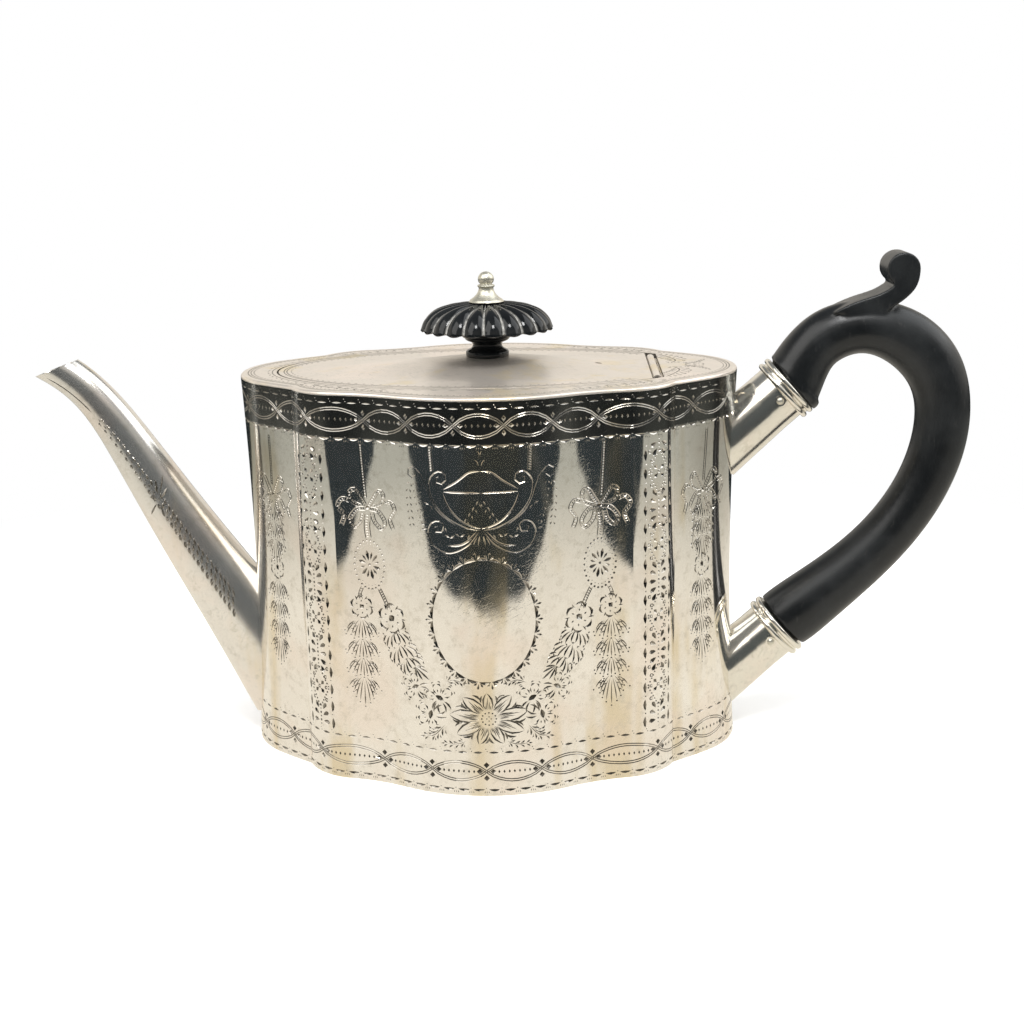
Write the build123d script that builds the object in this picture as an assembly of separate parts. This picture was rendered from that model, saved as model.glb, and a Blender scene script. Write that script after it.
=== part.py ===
from build123d import *

import os
from math import cos, radians, sin

# Silver teapot of shaped oval plan, with a flush hinged lid, a straight tapered spout that bends over at
# the mouth, and an ebonised wood loop handle pinned into two silver sockets.
# Millimetres. +Z is up, +X points to the handle and -X to the spout. The origin is the centre of the base,
# on the table.

# ---- driving dimensions -------------------------------------------------------------------------------
SHEET = 0.8             # silver sheet of the body, base and spout
BODY_HEIGHT = 112.0     # table to the top of the deck
BASE_HALF_LENGTH = 73.2
WAIST_HALF_LENGTH = 71.4    # the two end walls curve in a little at half height
TOP_HALF_LENGTH = 72.6
BODY_HALF_DEPTH = 52.7      # at the crown of the front and back bows
DECK_THICK = 1.0

# Plan of the body, one quarter: bow, ogee, pilaster, cusp, flat and round end.
BOW_RADIUS = 46.0
BOW_SWEEP = 30.0
CREASE = (41.0, 40.0)   # where the ogee meets the pilaster
PILASTER_BULGE = 1.8
CUSP = (53.0, 29.5)     # where the pilaster meets the flat
END_RADIUS = 28.0
END_SWEEP = 48.0

# Lid, an ellipse cut off square at the hinge.
LID_HALF_LENGTH = 61.7
LID_HALF_WIDTH = 37.5
LID_GAP = 0.35
LID_DOME_RISE = 3.7
LID_DOME_SHARE = 0.745  # of the lid's half length
LEDGE_WIDTH = 2.0
FLANGE_DROP = 4.5
FLANGE_THICK = 0.7
VENT_X = 32.4
VENT_RADIUS = 1.1

# Flush hinge of five knuckles.
HINGE_X = 48.5
KNUCKLE_RADIUS = 1.25
HINGE_PIN_RADIUS = 0.75
HINGE_HALF_LENGTH = 20.0
HINGE_Z = BODY_HEIGHT - DECK_THICK - 0.05
RUNNING = 0.05          # radial clearance of a pin that turns
LEAF_THICK = 0.8
LEAF_LENGTH = 8.0
KNUCKLE_GAP = 0.1
LID_LEAF_BACK = 0.1     # lid plate to barrel
DECK_BACK = 0.55        # deck plate to barrel

# Spout: stations along its centre line as (x, z, heading in degrees from +X, depth, width).
SPOUT_STATIONS = [
    (-62.0, 13.5, 120.6, 29.5, 23.0),
    (-77.0, 38.6, 120.6, 24.6, 19.0),
    (-94.9, 68.0, 120.6, 18.6, 15.0),
    (-108.6, 91.6, 121.5, 14.2, 12.0),
    (-116.2, 103.0, 128.5, 12.3, 10.8),
    (-124.6, 111.2, 144.0, 11.4, 10.0),
    (-133.5, 116.6, 150.0, 11.0, 9.4),
]
MOUTH_POINT = (-126.5, 113.9)   # the mouth is cut by a plane through here
MOUTH_TILT = 20.0               # degrees below horizontal, towards the lip
STRAINER_ROWS = 7
STRAINER_PITCH = 5.4
STRAINER_Z = 32.0
STRAINER_RADIUS = 1.3

# Handle sockets. Both point up and outwards at the same angle.
SOCKET_TILT = 41.5
UPPER_COLLAR = (88.45, 106.0)   # centre of the mouth, as (x, z)
LOWER_COLLAR = (87.3, 33.15)
SOCKET_RADIUS = 8.7
SOCKET_ROOT_RADIUS = 9.4
SOCKET_THICK = 0.9
SOCKET_LENGTH = 30.0
COLLAR_LENGTH = 3.9
COLLAR_THICK = 0.5
REED_RADIUS = 0.85
SOCKET_PIN_RADIUS = 0.7
SOCKET_PIN_BACK = 5.5           # pin axis behind the mouth
PIN_HEAD_RADIUS = 1.15
WASHER_RADIUS = 1.5
WASHER_STAND = 0.35
TENON_LENGTH = 11.0
TENON_CLEARANCE = 0.1

# Handle: sections as (x, z, heading, depth in the plane of the loop, width across it).
HANDLE_SECTIONS = [
    (88.95, 106.5, SOCKET_TILT, 19.6, 18.4),
    (91.6, 112.0, 58.0, 16.4, 16.8),
    (97.6, 119.0, 34.0, 15.6, 15.8),
    (107.5, 122.3, 2.0, 15.4, 15.6),
    (119.7, 119.5, -32.0, 16.6, 15.6),
    (129.6, 109.7, -62.0, 16.6, 15.6),
    (132.7, 97.0, -90.0, 15.8, 15.6),
    (128.4, 77.0, -113.0, 15.4, 15.6),
    (116.2, 58.3, -128.5, 15.6, 16.0),
    (104.3, 46.9, -137.0, 16.8, 16.8),
    (95.4, 39.6, -139.0, 18.3, 17.8),
    (87.8, 33.6, SOCKET_TILT - 180.0, 18.6, 18.2),
]
SCROLL_CENTRE = (118.6, 139.1)
SCROLL_RADIUS = 4.7
SCROLL_WIDTH = 13.0
SCROLL_HEEL = (99.0, 0, 127.0)     # where the leaf leaves the handle
SCROLL_FOOT = (112.0, 0, 126.0)    # inside the handle, under the roll
HANDLE_LIP_RADIUS = 9.2         # rounded lip under the handle where it meets the upper socket
HANDLE_LIP_LENGTH = 2.9
HANDLE_LIP_DROP = 0.9           # its centre below the socket's axis
HANDLE_LIP_ROUND = 1.4

# Knob: wooden pedestal and fluted button under a silver finial, all held by one stud.
PEDESTAL_FOOT_RADIUS = 6.3
PEDESTAL_HEIGHT = 6.4
BUTTON_RADIUS = 19.4
BUTTON_HEIGHT = 8.9
BUTTON_LOBES = 20
FLUTE_RADIUS = 1.6
STUD_RADIUS = 1.2
STUD_CLEARANCE = 0.05
FINIAL_HEIGHT = 8.9
NUT_RADIUS = 3.4
NUT_HEIGHT = 2.2
WASHER_HEIGHT = 0.6

# ---- worked out from the driving dimensions --------------------------------------------------------
WALL_TOP = BODY_HEIGHT - DECK_THICK
LID_TOP = BODY_HEIGHT + LID_DOME_RISE
BUTTON_BASE = LID_TOP + PEDESTAL_HEIGHT
BUTTON_TOP = BUTTON_BASE + BUTTON_HEIGHT
FINIAL_TOP = BUTTON_TOP + FINIAL_HEIGHT
SQUASH = LID_HALF_WIDTH / LID_HALF_LENGTH
LID_EDGE_X = HINGE_X - KNUCKLE_RADIUS - LID_LEAF_BACK
DECK_EDGE_X = HINGE_X + KNUCKLE_RADIUS + DECK_BACK
SEAT_END_X = HINGE_X - KNUCKLE_RADIUS - LEAF_LENGTH - 1.5
AXIS = Vector(cos(radians(SOCKET_TILT)), 0, sin(radians(SOCKET_TILT)))


# ---- helpers ---------------------------------------------------------------------------------------
def side_plane(x, z, heading):
    """Plane square to a heading in the XZ plane; its own X axis lies in the plane of the loop."""
    a = radians(heading)
    return Plane(origin=(x, 0, z), x_dir=(-sin(a), 0, cos(a)), z_dir=(cos(a), 0, sin(a)))


def oval_loft(stations, shrink=0.0):
    """Smooth solid through ovals square to each station's heading, each shrunk on all sides."""
    faces = [side_plane(x, z, heading) * Ellipse(depth / 2 - shrink, width / 2 - shrink)
             for x, z, heading, depth, width in stations]
    return loft(faces)


def lathe(points, at=(0, 0)):
    """Solid turned about a vertical axis from (radius, z) points joined by straight lines."""
    return Pos(at[0], at[1], 0) * revolve(make_face(Polyline(*[(r, 0, z) for r, z in points], close=True)))


def upright(radius, low, high, at=(0, 0)):
    """Vertical cylinder between two heights."""
    return Pos(at[0], at[1], (low + high) / 2) * Cylinder(radius, high - low)


def across(radius, low, high, x, z):
    """Cylinder along Y between two places."""
    return Pos(x, (low + high) / 2, z) * Rot(90, 0, 0) * Cylinder(radius, high - low)


def block(low, high):
    """Box between two corners."""
    size = [b - a for a, b in zip(low, high)]
    middle = [(a + b) / 2 for a, b in zip(low, high)]
    return Pos(*middle) * Box(*size)


# ---- body ------------------------------------------------------------------------------------------
def body_outline(half_length):
    """Plan of the body: the front right quarter, mirrored to the other three."""
    bow = JernArc((0, -BODY_HALF_DEPTH), (1, 0), BOW_RADIUS, BOW_SWEEP)
    crease = (CREASE[0], -CREASE[1])
    ogee = TangentArc(bow @ 1, crease, tangent=bow % 1)
    cusp = (CUSP[0], -CUSP[1])
    pilaster = SagittaArc(crease, cusp, -PILASTER_BULGE)
    a = radians(END_SWEEP)
    shoulder = (half_length - END_RADIUS * (1 - cos(a)), -END_RADIUS * sin(a))
    flat = TangentArc(shoulder, cusp, tangent=(-sin(a), -cos(a)))
    end = JernArc(shoulder, (sin(a), cos(a)), END_RADIUS, END_SWEEP)
    quarter = [bow, ogee, pilaster, flat, end]
    half = quarter + [mirror(e, Plane.XZ) for e in quarter]
    return make_face(half + [mirror(e, Plane.YZ) for e in half])


def body_block(inset, height):
    """The whole body as one solid, drawn in on all sides by inset, its end walls curved in at half height."""
    sections = [(0, BASE_HALF_LENGTH), (WALL_TOP / 2, WAIST_HALF_LENGTH), (WALL_TOP, TOP_HALF_LENGTH)]
    plans = [Pos(0, 0, z) * offset(body_outline(half), -inset) for z, half in sections]
    whole = loft(plans)
    if height < WALL_TOP:
        whole &= block((-90, -90, 0), (90, 90, height))
    return whole


def strainer_holes():
    """Small holes pierced through the wall behind the spout, in staggered rows."""
    holes = []
    for row in range(STRAINER_ROWS):
        z = STRAINER_Z + (row - (STRAINER_ROWS - 1) / 2) * STRAINER_PITCH
        across_row = (-1, 0, 1) if row % 2 else (-0.5, 0.5)
        for step in across_row:
            hole = Pos(-WAIST_HALF_LENGTH, step * STRAINER_PITCH, z) * Rot(0, 90, 0)
            holes.append(hole * Cylinder(STRAINER_RADIUS, 16))
    return holes


def lid_oval(grow):
    """The lid's ellipse as a face, larger all round by grow."""
    return Ellipse(LID_HALF_LENGTH + grow, LID_HALF_WIDTH + grow)


def cut_at(x):
    """Everything on the handle's side of a plane square to X."""
    return block((x, -80, 0), (x + 60, 80, 200))


def body_parts(body):
    wall = body - body_block(SHEET, WALL_TOP) - strainer_holes()
    base = body_block(SHEET, SHEET)
    opening = extrude(lid_oval(LID_GAP), BODY_HEIGHT) - cut_at(DECK_EDGE_X)
    deck = Pos(0, 0, WALL_TOP) * extrude(body_outline(TOP_HALF_LENGTH), DECK_THICK) - opening
    seat_low = WALL_TOP - 1.0
    seat = Pos(0, 0, seat_low) * (
        extrude(lid_oval(LID_GAP + LEDGE_WIDTH), 1.0) - extrude(lid_oval(-LEDGE_WIDTH), 1.0)
    ) - cut_at(SEAT_END_X)
    return {"body_wall": wall, "base_plate": base, "deck_plate": deck, "lid_seat": seat}


# ---- lid and hinge ---------------------------------------------------------------------------------
def lid_plate():
    """Flat border and low dome, turned round and then squashed to an ellipse."""
    edge = LID_DOME_SHARE * LID_HALF_LENGTH
    top = Spline((0, 0, LID_TOP), (edge, 0, BODY_HEIGHT), tangents=[(1, 0, 0), (1, 0, 0)])
    under = Pos(0, 0, -DECK_THICK) * top
    rim = Polyline((edge, 0, BODY_HEIGHT), (LID_HALF_LENGTH, 0, BODY_HEIGHT),
                   (LID_HALF_LENGTH, 0, WALL_TOP), (edge, 0, WALL_TOP))
    axis_line = Line((0, 0, WALL_TOP + LID_DOME_RISE), (0, 0, LID_TOP))
    round_lid = revolve(make_face([top, rim, under, axis_line]))
    oval = scale(round_lid, by=(1, SQUASH, 1)) - cut_at(LID_EDGE_X)
    stud_hole = upright(STUD_RADIUS + STUD_CLEARANCE, WALL_TOP, LID_TOP + 1)
    vent = upright(VENT_RADIUS, WALL_TOP - 1, LID_TOP + 1, at=(VENT_X, 0))
    return oval - stud_hole - vent


def lid_flange():
    """Short collar under the lid that drops inside the seat."""
    outer = lid_oval(-LEDGE_WIDTH - 0.4)
    ring = extrude(outer, FLANGE_DROP) - extrude(lid_oval(-LEDGE_WIDTH - 0.4 - FLANGE_THICK), FLANGE_DROP)
    return Pos(0, 0, WALL_TOP - FLANGE_DROP) * ring - cut_at(SEAT_END_X)


def hinge_leaf(side, spans):
    """Leaf soldered under a plate, with its knuckles. side is -1 for the lid and +1 for the deck."""
    near = KNUCKLE_RADIUS + 0.2
    top = WALL_TOP
    low = top - LEAF_THICK
    xs = sorted((HINGE_X + side * near, HINGE_X + side * (near + LEAF_LENGTH)))
    leaf = block((xs[0], -HINGE_HALF_LENGTH, low), (xs[1], HINGE_HALF_LENGTH, top))
    for a, b in spans:
        reach = sorted((HINGE_X + side * 0.3, HINGE_X + side * (near + 0.5)))
        leaf += block((reach[0], a, low), (reach[1], b, top))
        leaf += across(KNUCKLE_RADIUS, a, b, HINGE_X, HINGE_Z)
    bore = across(HINGE_PIN_RADIUS + RUNNING, -HINGE_HALF_LENGTH - 1, HINGE_HALF_LENGTH + 1, HINGE_X, HINGE_Z)
    return leaf - bore


def hinge_parts():
    pitch = 2 * HINGE_HALF_LENGTH / 5
    starts = [-HINGE_HALF_LENGTH + pitch * i for i in range(5)]
    spans = [(s + KNUCKLE_GAP / 2, s + pitch - KNUCKLE_GAP / 2) for s in starts]
    pin = across(HINGE_PIN_RADIUS, -HINGE_HALF_LENGTH, HINGE_HALF_LENGTH, HINGE_X, HINGE_Z)
    return {
        "hinge_deck_leaf": hinge_leaf(1, spans[0::2]),
        "hinge_lid_leaf": hinge_leaf(-1, spans[1::2]),
        "hinge_pin": pin,
    }


# ---- knob ------------------------------------------------------------------------------------------
def knob_pedestal(lid):
    """Turned foot that follows the dome of the lid, with a waist and a cup for the button."""
    foot = PEDESTAL_FOOT_RADIUS
    z = LID_TOP
    turned = lathe([
        (STUD_RADIUS + STUD_CLEARANCE, z - 0.6), (foot, z - 0.6), (foot, z + 0.9), (foot - 0.7, z + 1.5),
        (4.6, z + 2.2), (4.2, z + 3.0), (4.7, z + 3.7), (6.2, z + 4.4), (6.6, z + 4.9), (7.4, z + 5.6),
        (7.4, z + PEDESTAL_HEIGHT), (STUD_RADIUS + STUD_CLEARANCE, z + PEDESTAL_HEIGHT),
    ])
    return turned - lid


def knob_button():
    """Domed button with hollow flutes between its lobes."""
    z = BUTTON_BASE
    r = BUTTON_RADIUS
    bore = STUD_RADIUS + STUD_CLEARANCE
    top = (bore, 0, BUTTON_TOP)
    rim = (r, 0, z + 1.4)
    dome = Spline(top, (0.82 * r, 0, z + 6.4), rim, tangents=[(1, 0, 0), (0, 0, -1)])
    under = Polyline(rim, (r - 0.5, 0, z + 0.7), (r - 3.0, 0, z + 1.3), (8.0, 0, z), (bore, 0, z), top)
    button = revolve(make_face([dome, under]))
    flute = upright(FLUTE_RADIUS, z - 1, BUTTON_TOP, at=(r + 0.75 * FLUTE_RADIUS, 0))
    step = 360 / BUTTON_LOBES
    return button - [Rot(0, 0, step * i) * flute for i in range(BUTTON_LOBES)]


def knob_finial():
    """Silver cap nut: flared skirt, neck with two rings, and a ball."""
    z = BUTTON_TOP
    ball_radius = 2.35
    ball_z = FINIAL_TOP - ball_radius
    stem = lathe([
        (0, z), (4.9, z), (4.9, z + 0.5), (4.1, z + 1.1), (3.0, z + 2.1), (2.35, z + 3.4), (2.2, z + 4.2),
        (2.6, z + 4.4), (2.6, z + 4.9), (2.1, z + 5.1), (2.1, z + 5.4), (2.4, z + 5.6), (1.8, z + 6.0), (0, z + 6.0),
    ])
    bore = upright(STUD_RADIUS + STUD_CLEARANCE, z - 1, z + 4.5)
    return stem + Pos(0, 0, ball_z) * Sphere(ball_radius) - bore


def knob_parts(lid):
    under_lid = LID_TOP - DECK_THICK
    washer_low = under_lid - WASHER_HEIGHT
    nut_low = washer_low - NUT_HEIGHT
    bore = STUD_RADIUS + STUD_CLEARANCE
    nut = Pos(0, 0, nut_low) * extrude(RegularPolygon(NUT_RADIUS, 6), NUT_HEIGHT)
    return {
        "knob_pedestal": knob_pedestal(lid),
        "knob_button": knob_button(),
        "knob_finial": knob_finial(),
        "knob_stud": upright(STUD_RADIUS, nut_low - 1.0, BUTTON_TOP + 4.2),
        "knob_washer": upright(4.2, washer_low, under_lid) - upright(bore, washer_low, under_lid) - lid,
        "knob_nut": nut - upright(bore, nut_low - 1, nut_low + NUT_HEIGHT + 1),
    }


# ---- spout -----------------------------------------------------------------------------------------
def spout(body):
    """Tapered oval tube, cut to the body at its root and by a sloping plane at its mouth."""
    tube = oval_loft(SPOUT_STATIONS) - oval_loft(SPOUT_STATIONS, SHEET)
    above = Pos(MOUTH_POINT[0], 0, MOUTH_POINT[1]) * Rot(0, -MOUTH_TILT, 0) * Pos(0, 0, 30) * Box(80, 60, 60)
    return tube - body - above


# ---- sockets and handle ----------------------------------------------------------------------------
def along(collar, back):
    """Point on a socket's axis, behind the centre of its mouth, as (x, z)."""
    return (collar[0] - back * AXIS.X, collar[1] - back * AXIS.Z)


def socket_frame(collar):
    """Plane whose Z axis runs up the socket, with its origin at the centre of the mouth."""
    return side_plane(collar[0], collar[1], SOCKET_TILT)


def socket_pin_hole(collar, radius):
    x, z = along(collar, SOCKET_PIN_BACK)
    return across(radius, -20, 20, x, z)


def turned_on(frame, points):
    """Solid turned about a socket's axis from (radius, distance along the axis) points."""
    return frame * revolve(make_face(Polyline(*[(r, 0, h) for r, h in points], close=True)))


def socket_tube(collar, body):
    """Soldered tube that flares to the body and takes the handle's tenon."""
    r = SOCKET_RADIUS
    bore = r - SOCKET_THICK
    tube = turned_on(socket_frame(collar), [
        (bore, 0), (r, 0), (r, -COLLAR_LENGTH - 6), (SOCKET_ROOT_RADIUS, -SOCKET_LENGTH),
        (bore, -SOCKET_LENGTH),
    ])
    return tube - body - socket_pin_hole(collar, SOCKET_PIN_RADIUS + RUNNING)


def socket_collar(collar):
    """Band with two reeds round the mouth of a socket."""
    outside = SOCKET_RADIUS + COLLAR_THICK
    band = [(SOCKET_RADIUS, 0), (outside, 0), (outside, -COLLAR_LENGTH), (SOCKET_RADIUS, -COLLAR_LENGTH)]
    frame = socket_frame(collar)
    ring = turned_on(frame, band)
    for back in (REED_RADIUS, COLLAR_LENGTH - REED_RADIUS):
        ring += frame * Pos(0, 0, -back) * Torus(outside, REED_RADIUS)
    return ring - turned_on(frame, [(0, 2), (SOCKET_RADIUS, 2), (SOCKET_RADIUS, -8), (0, -8)])


def socket_pin(collar):
    """Cross pin with a low domed head at each end."""
    x, z = along(collar, SOCKET_PIN_BACK)
    seat = SOCKET_RADIUS + WASHER_STAND
    pin = across(SOCKET_PIN_RADIUS, -seat, seat, x, z)
    for side in (-1, 1):
        ball = Pos(x, side * (seat - 0.6), z) * Sphere(PIN_HEAD_RADIUS + 0.1)
        pin += ball & across(PIN_HEAD_RADIUS, *sorted((side * seat, side * (seat + 3))), x, z)
    return pin


def pin_washers(sockets):
    """Four small rings round the pin heads, shaped to the tubes under them."""
    rings = []
    seat = SOCKET_RADIUS + WASHER_STAND
    for collar, tube in sockets:
        x, z = along(collar, SOCKET_PIN_BACK)
        solid_tube = turned_on(socket_frame(collar), [
            (0, 0), (SOCKET_RADIUS, 0), (SOCKET_RADIUS, -COLLAR_LENGTH - 6), (0, -COLLAR_LENGTH - 6)])
        for side in (-1, 1):
            span = sorted((side * (seat - 1.0), side * seat))
            ring = across(WASHER_RADIUS, *span, x, z) - across(SOCKET_PIN_RADIUS + RUNNING, *span, x, z)
            rings.append(ring - solid_tube - tube)
    return Compound(children=[s for ring in rings for s in ring.solids()])


def thumb_scroll():
    """Leaf that leaves the top of the handle and curls over into a roll."""
    x, z = SCROLL_CENTRE
    r = SCROLL_RADIUS
    under_roll = (x - 0.45 * r, 0, z - 0.89 * r)
    back = Spline(SCROLL_HEEL, (107.5, 0, 130.8), (113.4, 0, 132.9), under_roll,
                  tangents=[(1, 0, 0.62), (0.8, 0, 0.6)])
    over = ThreePointArc(under_roll, (x - 0.6 * r, 0, z + 0.8 * r), (x + r, 0, z))
    front = Spline((x + r, 0, z), (x + 0.66 * r, 0, z - 1.25 * r), (x - 0.15 * r, 0, z - 2.0 * r), SCROLL_FOOT,
                   tangents=[(0, 0, -1), (-1, 0, -0.6)])
    close = Line(SCROLL_FOOT, SCROLL_HEEL)
    face = make_face([back, over, front, close])
    return extrude(face, SCROLL_WIDTH / 2, both=True)


def handle():
    """One carved piece of wood: loop, thumb scroll and the two tenons that enter the sockets."""
    wood = oval_loft(HANDLE_SECTIONS) + thumb_scroll()
    lip = HANDLE_LIP_RADIUS
    edge = HANDLE_LIP_ROUND
    wood += turned_on(socket_frame(UPPER_COLLAR) * Pos(-HANDLE_LIP_DROP, 0, 0), [
        (0, 0), (lip, 0), (lip, HANDLE_LIP_LENGTH - edge), (lip - 0.3 * edge, HANDLE_LIP_LENGTH - 0.3 * edge),
        (lip - edge, HANDLE_LIP_LENGTH), (0, HANDLE_LIP_LENGTH)])
    tenon = SOCKET_RADIUS - SOCKET_THICK - TENON_CLEARANCE
    for collar in (UPPER_COLLAR, LOWER_COLLAR):
        wood += turned_on(socket_frame(collar), [(0, 2), (tenon, 2), (tenon, -TENON_LENGTH), (0, -TENON_LENGTH)])
        wood -= socket_pin_hole(collar, SOCKET_PIN_RADIUS + RUNNING)
    return wood


def handle_parts(body):
    upper = socket_tube(UPPER_COLLAR, body)
    lower = socket_tube(LOWER_COLLAR, body)
    return {
        "upper_socket": upper,
        "lower_socket": lower,
        "upper_socket_collar": socket_collar(UPPER_COLLAR),
        "lower_socket_collar": socket_collar(LOWER_COLLAR),
        "upper_handle_pin": socket_pin(UPPER_COLLAR),
        "lower_handle_pin": socket_pin(LOWER_COLLAR),
        "pin_washers": pin_washers([(UPPER_COLLAR, upper), (LOWER_COLLAR, lower)]),
        "handle": handle(),
    }


def build():
    body = body_block(0, WALL_TOP)
    lid = lid_plate()
    parts = body_parts(body)
    parts.update({"lid_plate": lid, "lid_flange": lid_flange(), "spout": spout(body)})
    parts.update(hinge_parts())
    parts.update(knob_parts(lid))
    parts.update(handle_parts(body))
    os.makedirs("parts", exist_ok=True)
    for name, shape in parts.items():
        export_step(shape, f"parts/{name}.step")


build()
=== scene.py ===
import math

import bpy
import numpy as np
from mathutils import Matrix, Vector
from mathutils.geometry import delaunay_2d_cdt


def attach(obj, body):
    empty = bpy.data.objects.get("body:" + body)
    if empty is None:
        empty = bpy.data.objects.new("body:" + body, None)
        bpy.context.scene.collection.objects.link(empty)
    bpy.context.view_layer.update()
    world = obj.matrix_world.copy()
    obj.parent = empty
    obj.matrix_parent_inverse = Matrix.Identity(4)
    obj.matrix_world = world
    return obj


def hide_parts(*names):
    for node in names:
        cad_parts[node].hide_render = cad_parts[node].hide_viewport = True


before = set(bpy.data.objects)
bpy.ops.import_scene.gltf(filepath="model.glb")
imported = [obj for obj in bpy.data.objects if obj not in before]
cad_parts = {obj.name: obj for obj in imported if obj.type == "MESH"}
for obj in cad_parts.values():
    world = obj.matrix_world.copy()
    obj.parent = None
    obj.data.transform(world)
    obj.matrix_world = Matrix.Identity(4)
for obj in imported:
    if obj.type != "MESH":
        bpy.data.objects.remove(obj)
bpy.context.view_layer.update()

MM = 0.001

# ---- sizes shared with the solids, in millimetres --------------------------------------------------
BODY_HEIGHT = 112.0
WALL_TOP = 111.0
SHEET = 0.8
BASE_HALF, WAIST_HALF, TOP_HALF = 73.2, 71.4, 72.6
HALF_DEPTH = 52.7
BOW_RADIUS, BOW_SWEEP = 46.0, math.radians(30)
CREASE, CUSP = (41.0, -40.0), (53.0, -29.5)
PILASTER_BULGE = 1.8
END_RADIUS, END_SWEEP = 28.0, math.radians(48)
LID_A, LID_B = 61.7, 37.5
LID_EDGE_X, DECK_EDGE_X = 47.15, 50.3
DOME_RISE, DOME_EDGE = 3.7, 0.745 * 61.7
LID_TOP = BODY_HEIGHT + DOME_RISE
DASH_PITCH = 4.3


def unit(v):
    """Vectors along the last axis, each made one long."""
    return v / np.maximum(np.linalg.norm(v, axis=-1, keepdims=True), 1e-12)


def direction(v):
    """Angle of a flat vector."""
    return math.atan2(v[1], v[0])


# ---- plan of the body ------------------------------------------------------------------------------
def arc_between(start, end, tangent):
    """Arc leaving start along tangent and reaching end, as (centre, radius, first angle, sweep)."""
    s, e, t = (np.array(v, float) for v in (start, end, tangent))
    n = np.array([-t[1], t[0]]) / np.linalg.norm(t)
    chord = e - s
    r = chord @ chord / (2 * (chord @ n))
    c = s + n * r
    a0 = direction(s - c)
    sweep = (direction(e - c) - a0 + math.pi) % (2 * math.pi) - math.pi
    return c, abs(r), a0, sweep


def quarter_arcs(half):
    """The five arcs of the front right quarter, from the middle of the bow to the middle of the end."""
    bow_c = np.array([0, BOW_RADIUS - HALF_DEPTH])
    bow = (bow_c, BOW_RADIUS, -math.pi / 2, BOW_SWEEP)
    bow_end = bow_c + BOW_RADIUS * np.array([math.sin(BOW_SWEEP), -math.cos(BOW_SWEEP)])
    ogee = arc_between(bow_end, CREASE, (math.cos(BOW_SWEEP), math.sin(BOW_SWEEP)))
    crease, cusp = np.array(CREASE), np.array(CUSP)
    chord = cusp - crease
    length = np.linalg.norm(chord)
    out = np.array([chord[1], -chord[0]]) / length
    r = (length ** 2 / 4 + PILASTER_BULGE ** 2) / (2 * PILASTER_BULGE)
    c = (cusp + crease) / 2 + (PILASTER_BULGE - r) * out
    a0 = direction(crease - c)
    pilaster = (c, r, a0, direction(cusp - c) - a0)
    shoulder = (half - END_RADIUS * (1 - math.cos(END_SWEEP)), -END_RADIUS * math.sin(END_SWEEP))
    fc, fr, fa, fs = arc_between(shoulder, CUSP, (-math.sin(END_SWEEP), -math.cos(END_SWEEP)))
    flat = (fc, fr, fa + fs, -fs)
    end = (np.array([half - END_RADIUS, 0.0]), END_RADIUS, -END_SWEEP, END_SWEEP)
    return [bow, ogee, pilaster, flat, end]


ARCS = {h: quarter_arcs(h) for h in (BASE_HALF, WAIST_HALF, TOP_HALF)}
STOPS = np.concatenate([[0], np.cumsum([abs(a[1] * a[3]) for a in ARCS[BASE_HALF]])])
U_CREASE, U_CUSP, QUARTER = STOPS[2], STOPS[3], STOPS[5]
U_PILASTER = (U_CREASE + U_CUSP) / 2
GIRTH = 4 * QUARTER
FRONT, BACK, SPOUT_END = 0.0, 2 * QUARTER, 3 * QUARTER
KINKS = [-U_CREASE, U_CREASE, U_CUSP, BACK - U_CUSP, BACK - U_CREASE, BACK + U_CREASE, BACK + U_CUSP,
         GIRTH - U_CUSP, GIRTH - U_CREASE]      # where one panel of the wall ends and the next one starts


def plan_point(u, half):
    """Points of the outline at distances u round it from the front middle, towards the handle."""
    u = np.asarray(u, float) % GIRTH
    side = np.minimum((u // QUARTER).astype(int), 3)
    local = u - side * QUARTER
    q = np.where(side % 2 == 1, QUARTER - local, local)
    xy = np.zeros(q.shape + (2,))
    index = np.clip(np.searchsorted(STOPS, q, side="right") - 1, 0, 4)
    for i, (c, r, a0, sweep) in enumerate(ARCS[half]):
        m = index == i
        t = (q[m] - STOPS[i]) / (STOPS[i + 1] - STOPS[i])
        a = a0 + sweep * t
        xy[m] = np.stack([c[0] + r * np.cos(a), c[1] + r * np.sin(a)], -1)
    xy[..., 0] *= np.where((side == 2) | (side == 3), -1, 1)
    xy[..., 1] *= np.where((side == 1) | (side == 2), -1, 1)
    return xy


def wall_point(u, z):
    """Points on the outside of the wall."""
    k = z / (WALL_TOP / 2)
    w0, w1, w2 = (k - 1) * (k - 2) / 2, k * (2 - k), k * (k - 1) / 2
    xy = (plan_point(u, BASE_HALF) * w0[..., None] + plan_point(u, WAIST_HALF) * w1[..., None]
          + plan_point(u, TOP_HALF) * w2[..., None])
    return np.concatenate([xy, z[..., None]], -1)


def wall_surface(low, high):
    """Surface function of one panel, whose normals don't mix with the next panel's."""
    def surface(p):
        u, z = p[:, 0], p[:, 1]
        a, b = np.clip(u - 0.05, low, high - 1e-6), np.clip(u + 0.05, low + 1e-6, high - 1e-9)
        du = wall_point(b, z) - wall_point(a, z)
        dz = wall_point(u, z + 0.5) - wall_point(u, z - 0.5)
        inner = np.clip(u, low + 1e-7, high - 1e-7)
        return wall_point(inner, z), unit(np.cross(du, dz))
    return surface


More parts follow.
